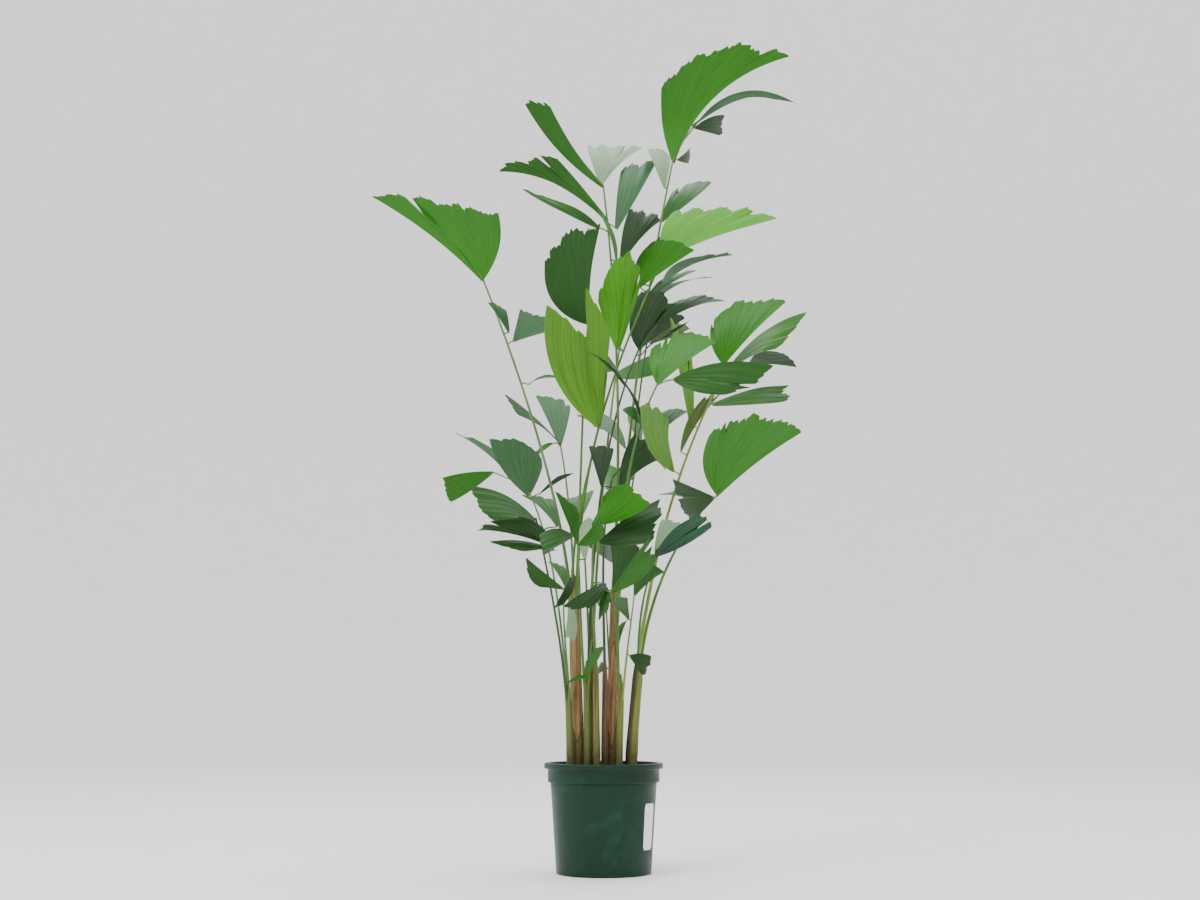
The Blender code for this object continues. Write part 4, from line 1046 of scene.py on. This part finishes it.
@dataclass
class Cane:
    """One cane with the relief of its sheaths, in place of its plain solid."""

    plan: CanePlan
    sides: int = 56
    rings: int = 170
    soil_top: float = 22.0
    gap: float = 0.03
    lean_power: float = 1.4
    swell: float = 1.08
    lumps: float = 0.07             # share of the radius, as are the next two
    strand: float = 0.045
    groove: float = 0.16
    shrink: float = 0.97
    hood: float = 6.5               # how far the last sheath runs up the ribs
    hood_rings: int = 24
    hood_taper: float = 0.6
    hood_slant: float = 0.3

    def hood_way(self) -> Vector:
        """Direction in which the last sheath runs up from the top, along the middle of its ribs."""
        rises = [Vector(frond.rise) for frond in FRONDS if frond.cane == self.plan.name]
        return (sum(rises, Vector()) / len(rises) - Vector(self.plan.top)).normalized()

    def build(self) -> bpy.types.Object:
        """Makes the cane's skin.

        Returns:
            The cane.
        """
        plan = self.plan
        foot = Vector((*plan.foot, self.soil_top + self.gap))
        top = Vector(plan.top)
        fibre = plan.bark.value[3]
        seed = Vector((plan.foot[0] * 3, plan.foot[1] * 5, 7))
        points: list[Vector] = []
        places: list[tuple[float, float]] = []
        rows: list[list[int]] = []
        length = top.z - foot.z
        for ring in range(self.rings):
            share = ring / (self.rings - 1)
            lean = share ** self.lean_power
            middle = Vector((foot.x + (top.x - foot.x) * lean, foot.y + (top.y - foot.y) * lean,
                             foot.z + length * share))
            swell = 1 + (self.swell - 1) * math.exp(-((share - 0.2) / 0.18) ** 2)
            radius = (plan.foot_radius + (plan.top_radius - plan.foot_radius) * share) * swell
            rows.append(list(range(len(points), len(points) + self.sides)))
            for k in range(self.sides):
                angle = math.tau * k / self.sides
                around = Vector((math.cos(angle), math.sin(angle), 0))
                at = Vector((around.x * 1.6, around.y * 1.6, middle.z * 0.08)) + seed
                seam = abs(noise.noise(at * 1.1))
                strands = noise.noise(Vector((around.x * 7, around.y * 7, middle.z * 0.25)) + seed)
                groove = self.groove * fibre * max(0.0, 1 - seam * 9)
                relief = radius * (self.lumps * noise.noise(at) + self.strand * fibre * strands - groove)
                points.append(middle + around * (radius * self.shrink + relief))
                places.append((k / self.sides, middle.z * CM))
        way = self.hood_way()
        mouth = noise.noise(seed) * math.tau
        rim = [point - top for point in points[-self.sides:]]
        for ring in range(1, self.hood_rings + 1):
            share = ring / self.hood_rings
            rows.append(list(range(len(points), len(points) + self.sides)))
            for k, edge in enumerate(rim):
                slant = 1 - self.hood_slant * (1 + math.cos(math.tau * k / self.sides - mouth)) / 2
                run = self.hood * share * slant
                fray = 1 + 0.05 * fibre * noise.noise(Vector((k * 0.7, run, 2)) + seed)
                points.append(top + way * run + edge * ((1 - self.hood_taper * share ** 1.4) * fray))
                places.append((k / self.sides, (top.z + run) * CM))
        faces: list[tuple[int, ...]] = []
        for lower, upper in zip(rows, rows[1:]):
            faces += strip(lower, upper)
        faces += [tuple(reversed(rows[0])), tuple(rows[-1])]
        cane = new_mesh_object(plan.name + "_skin", points, faces)
        paint_uv(cane.data, places)
        cane.data.set_sharp_from_angle(angle=math.radians(50))
        name = f"cane {plan.bark.name.lower()}"
        cane.data.materials.append(bpy.data.materials.get(name) or BarkFinish().make(name, plan.bark))
        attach(cane, BODY)
        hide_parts(plan.name)
        return cane


@dataclass
class Blade:
    """The fine form of one leaflet: pleated, torn along its far edge, and closed on both sides."""

    plan: LeafPlan
    seed: int
    pleat_width: float = 2.1        # cm at the far edge
    fold: float = 0.035             # depth of a pleat, as a share of its width
    columns: int = 5                # in each pleat
    heel: float = 0.015
    bow: float = 0.05
    thickness: float = 0.07
    tooth: float = 0.068            # share of the length
    tooth_lean: float = 0.7         # slope of a tooth, in teeth
    tooth_fray: float = 0.3
    slit: float = 2.2               # depth of a slit, in teeth
    slit_chance: float = 0.05
    ring_step: float = 1.4          # cm between rings
    wave: float = 0.022             # share of the length
    wave_step: float = 0.11         # waves in a cm
    points: list[Vector] = field(default_factory=list)
    places: list[tuple[float, float]] = field(default_factory=list)
    faces: list[tuple[int, ...]] = field(default_factory=list)
    far_faces: int = 0

    def build(self) -> None:
        """Works out the blade's points, faces and pattern places."""
        plan = self.plan
        draw = random.Random(self.seed)
        base, tail, corner = Vector(plan.base), Vector(plan.tail), Vector(plan.corner)
        length, short = tail.length, corner.length
        ahead = tail.normalized()
        across = (corner - ahead * corner.dot(ahead)).normalized()
        opening = tail.angle(corner)
        turn = 1 if ahead.cross(across).y > 0 else -1
        normal = ahead.cross(across)
        if normal.z < 0:
            normal = -normal
        span = (opening + math.radians(plan.shoulder) * 0.5) * (length + short) / 2
        pleats = max(4, round(span / self.pleat_width))
        columns = pleats * self.columns
        rings = max(10, round(length / self.ring_step))
        cuts = [draw.uniform(-1, 1) for _ in range(pleats + 1)]
        slits = [draw.random() < self.slit_chance for _ in range(pleats + 1)]
        rows: list[list[Vector]] = []
        for i in range(columns + 1):
            share = i / columns
            number, part = divmod(share * pleats, 1)
            cut = cuts[min(int(number), pleats)]
            bend = (math.radians(plan.curl) * turn * share ** 2
                    - math.radians(plan.shoulder) * (1 - share) ** 2)
            heading = opening * (1 - share) - bend / 2
            reach = short + (length - short) * share ** plan.fill
            drift = cut * (1 - part) + cuts[min(int(number) + 1, pleats)] * part
            tear = self.tooth * (drift * 0.9 + self.tooth_lean * (part - 0.5) * (0.4 + abs(cut)))
            tear += self.tooth * self.tooth_fray * noise.noise(Vector((i * 0.9, self.seed, 0)))
            if slits[min(int(number), pleats)] and part < 0.3 and 0.05 < share < 0.9:
                tear -= self.tooth * self.slit
            reach *= 1 + tear * min(1.0, share * 8 + 0.2) * min(1.0, (1 - share) * 8 + 0.2)
            slack = math.sin(bend / 2) / (bend / 2) if abs(bend) > 1e-6 else 1
            step = reach / slack / (rings - 1)
            place = base + across * (self.heel * length * (1 - 2 * share))
            row = [place.copy()]
            for j in range(1, rings):
                along = j / (rings - 1)
                angle = heading + bend * (j - 0.5) / (rings - 1)
                place = place + (ahead * math.cos(angle) + across * math.sin(angle)) * step
                arch = math.sin(math.pi * along) * self.bow * length
                fold = (abs(part - 0.5) * 2 - 0.5) * self.pleat_width * self.fold * min(1.0, along * 1.6)
                wave = noise.noise(place * self.wave_step + Vector((self.seed, 0, 0))) * self.wave
                row.append(place + normal * (arch + fold + wave * length * along ** 2))
            rows.append(row)
        self.skin(rows, normal, pleats)

    def skin(self, rows: list[list[Vector]], normal: Vector, pleats: int) -> None:
        """Closes the blade round its rows of points.

        Args:
            rows: Points from the short edge to the long one, each from the base outwards.
            normal: The side that is up.
            pleats: How many pleats the pattern counts.
        """
        columns, rings = len(rows), len(rows[0])
        lift = normal * (self.thickness / 2)
        for side in (1, -1):
            for i, row in enumerate(rows):
                for j, place in enumerate(row):
                    self.points.append(place + lift * side)
                    self.places.append((i / (columns - 1) * pleats, j / (rings - 1)))
        under = columns * rings
        upward = (rows[-1][-1] - rows[0][0]).cross(rows[0][-1] - rows[0][0]).dot(normal) < 0
        upper: list[tuple[int, ...]] = []
        for i in range(columns - 1):
            for j in range(rings - 1):
                quad = (i * rings + j, i * rings + j + 1, (i + 1) * rings + j + 1, (i + 1) * rings + j)
                upper.append(quad if not upward else tuple(reversed(quad)))
        lower = [tuple(reversed([n + under for n in quad])) for quad in upper]
        rim = list(range(rings))
        rim += [i * rings + rings - 1 for i in range(1, columns)]
        rim += [(columns - 1) * rings + j for j in range(rings - 2, -1, -1)]
        rim += [i * rings for i in range(columns - 2, 0, -1)]
        edge = [(a, a + under, b + under, b) for a, b in zip(rim, rim[1:] + rim[:1])]
        if upward:
            edge = [tuple(reversed(quad)) for quad in edge]
        front_up = normal.y < -0.25
        near, far = (upper, lower) if front_up else (lower, upper)
        self.faces = near + edge + far
        self.far_faces = len(far)


@dataclass
class Frond:
    """One frond: its rib with the leaflets' stalks, and its leaflets."""

    plan: FrondPlan
    number: int
    gap: float = 0.03
    clearance: float = 0.05
    rib_sides: int = 12
    rib_rings: int = 48
    stalk_sides: int = 8
    stalk_radius: float = 0.17

    def path(self) -> list[Vector]:
        """Middle line of the rib, from its slot on the cane to its tip."""
        plan = self.plan
        cane = next(one for one in CANES if one.name == plan.cane)
        sharing = sum(1 for other in FRONDS if other.cane == cane.name)
        ring = 0 if sharing == 1 else cane.top_radius - plan.foot_radius - self.clearance
        slot = math.radians(plan.slot)
        foot = Vector(cane.top) + Vector((math.cos(slot), math.sin(slot), 0)) * ring
        foot.z += self.gap
        ends = Vector(plan.rise), Vector(plan.bend), Vector(plan.tip)
        return [bezier(foot, *ends, i / (self.rib_rings - 1)) for i in range(self.rib_rings)]

    def tube(self, route: list[Vector], radii: list[float], sides: int, points: list, faces: list,
             places: list) -> None:
        """Adds a closed tapered tube to a growing mesh.

        Args:
            route: Its middle line.
            radii: Its radius at each place of the route.
            sides: Faces round it.
            points: The mesh's points, which grow.
            faces: The mesh's faces, which grow.
            places: The pattern's places, which grow.
        """
        side = (route[1] - route[0]).cross(TOWARDS_FRONT).normalized()
        rows = []
        run = 0.0
        for i, middle in enumerate(route):
            along = (route[min(i + 1, len(route) - 1)] - route[max(i - 1, 0)]).normalized()
            side = (side - along * side.dot(along)).normalized()
            other = along.cross(side)
            run += (middle - route[max(i - 1, 0)]).length
            rows.append(list(range(len(points), len(points) + sides)))
            for k in range(sides):
                angle = math.tau * k / sides
                points.append(middle + (side * math.cos(angle) + other * math.sin(angle)) * radii[i])
                places.append((k / sides, run * CM))
        for lower, upper in zip(rows, rows[1:]):
            faces += strip(lower, upper)
        faces.append(tuple(reversed(rows[0])))
        faces.append(tuple(rows[-1]))

    def build_rib(self) -> bpy.types.Object:
        """Makes the rib and the stalks as one piece.

        Returns:
            The rib.
        """
        plan = self.plan
        path = self.path()
        points, faces, places = [], [], []
        radii = []
        for i in range(self.rib_rings):
            share = i / (self.rib_rings - 1)
            radii.append(plan.foot_radius + (plan.tip_radius - plan.foot_radius) * share ** 0.8)
        self.tube(path, radii, self.rib_sides, points, faces, places)
        for number in range(self.rib_sides):
            points[number].z = path[0].z
        for leaf in plan.leaves:
            base = Vector(leaf.base)
            inside = base + Vector(leaf.tail).lerp(Vector(leaf.corner), 0.5) * 0.12
            start = min(path, key=lambda point: (point - base).length)
            reach = (base - start).length
            if reach > self.stalk_radius * 2:
                sway = start.lerp(base, 0.5) + Vector((0, 0, reach * 0.06))
                route = [start, start.lerp(sway, 0.6), sway, base, inside]
                widths = [1.25, 1.0, 0.95, 0.9, 0.25]
            else:
                route = [start, base.lerp(inside, 0.3), inside]
                widths = [1.1, 0.85, 0.25]
            self.tube(route, [self.stalk_radius * width for width in widths], self.stalk_sides, points,
                      faces, places)
        rib = new_mesh_object(f"frond_{plan.name}_rib", points, faces)
        paint_uv(rib.data, places)
        name = f"rib {plan.stem.name.lower()}"
        rib.data.materials.append(bpy.data.materials.get(name) or StalkFinish().make(name, plan.stem.value))
        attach(rib, BODY)
        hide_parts(f"frond_{plan.name}")
        return rib

    def build_leaves(self) -> bpy.types.Object:
        """Makes the leaflets as one piece.

        Returns:
            The leaflets.
        """
        points, faces, places, kinds = [], [], [], []
        materials: list[bpy.types.Material] = []
        for i, leaf in enumerate(self.plan.leaves):
            blade = Blade(leaf, seed=self.number * 20 + i)
            blade.build()
            start = len(points)
            points += blade.points
            places += blade.places
            faces += [tuple(n + start for n in face) for face in blade.faces]
            near = leaf_material(leaf.tone, near=True)
            far = leaf_material(leaf.tone, near=False)
            for material in (near, far):
                if material not in materials:
                    materials.append(material)
            kinds += [materials.index(near)] * (len(blade.faces) - blade.far_faces)
            kinds += [materials.index(far)] * blade.far_faces
        leaves = new_mesh_object(f"frond_{self.plan.name}_leaflets", points, faces)
        paint_uv(leaves.data, places)
        for material in materials:
            leaves.data.materials.append(material)
        leaves.data.polygons.foreach_set("material_index", kinds)
        leaves.data.set_sharp_from_angle(angle=math.radians(60))
        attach(leaves, BODY)
        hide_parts(f"frond_{self.plan.name}")
        return leaves


def leaf_material(tone: Tone, near: bool) -> bpy.types.Material:
    """The material of one side of a leaflet, made once for each tone.

    Args:
        tone: The leaflet's tone.
        near: Whether it is the side that shows from the front.

    Returns:
        The material.
    """
    name = f"leaf {tone.name.lower()} {'near' if near else 'far'}"
    code = tone.value[0] if near else tone.value[1]
    return bpy.data.materials.get(name) or LeafFinish().make(name, code, tone.value[2])


@dataclass
class Studio:
    """Pale round studio with soft light, and the camera at the photograph's angle. Sizes in m."""

    floor_radius: float = 7.0
    sweep: float = 3.0
    height: float = 9.0
    sides: int = 96
    sky: float = 1.85               # strength of the soft light all round
    aim: float = 0.9                # height that the lamps face
    camera_place: Triple = (-0.008, -3.56, 0.369)
    camera_tilt: float = 8.9
    lens: float = 48.0

    def build(self) -> None:
        """Makes the floor, the lights and the camera."""
        profile = [(self.floor_radius * i / 4, 0.0) for i in range(5)]
        for i in range(1, 13):
            angle = math.pi / 2 * i / 12
            profile.append((self.floor_radius + self.sweep * math.sin(angle),
                            self.sweep * (1 - math.cos(angle))))
        profile.append((self.floor_radius + self.sweep, self.height))
        floor = lathe("studio_floor", profile[::-1], self.sides, scale=1.0)
        floor.data.materials.append(STUDIO_PAPER.make("studio paper"))
        world = bpy.data.worlds.new("soft light")
        bpy.context.scene.world = world
        world.use_nodes = True
        light = world.node_tree.nodes["Background"]
        light.inputs["Color"].default_value = hex_colour("#f2f5f8")
        light.inputs["Strength"].default_value = self.sky
        self.light("key", (-2.2, -2.6, 4.2), 2.5, 150)
        self.light("top", (0.6, 1.2, 5.0), 3.0, 110)
        camera = bpy.data.objects.new("camera", bpy.data.cameras.new("camera"))
        camera.data.lens = self.lens
        camera.data.sensor_width = 36
        camera.location = self.camera_place
        camera.rotation_euler = (math.radians(90 + self.camera_tilt), 0, 0)
        bpy.context.scene.collection.objects.link(camera)
        bpy.context.scene.camera = camera

    def light(self, name: str, place: Triple, size: float, power: float) -> None:
        """Adds a soft square light that faces the plant.

        Args:
            name: The light's name.
            place: Where it hangs, in m.
            size: Its side, in m.
            power: Its power, in W.
        """
        lamp = bpy.data.lights.new(name, "AREA")
        lamp.size = size
        lamp.energy = power
        thing = bpy.data.objects.new(name, lamp)
        thing.location = place
        way = Vector((0, 0, self.aim)) - Vector(place)
        thing.rotation_euler = way.to_track_quat("-Z", "Y").to_euler()
        bpy.context.scene.collection.objects.link(thing)


def main() -> None:
    """Builds the looks piece by piece."""
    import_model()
    Studio().build()
    pot = NurseryPot()
    pieces = [pot.build(), *Soil().build(), Label().build(pot)]
    for plan in CANES:
        pieces.append(Cane(plan).build())
    for number, plan in enumerate(FRONDS):
        frond = Frond(plan, number)
        pieces += [frond.build_rib(), frond.build_leaves()]
    for piece in pieces:
        log.info("%s: %d faces", piece.name, len(piece.data.polygons))
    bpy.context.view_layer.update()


if __name__ == "__main__":
    logging.basicConfig(level=logging.INFO, format="%(message)s")
    main()
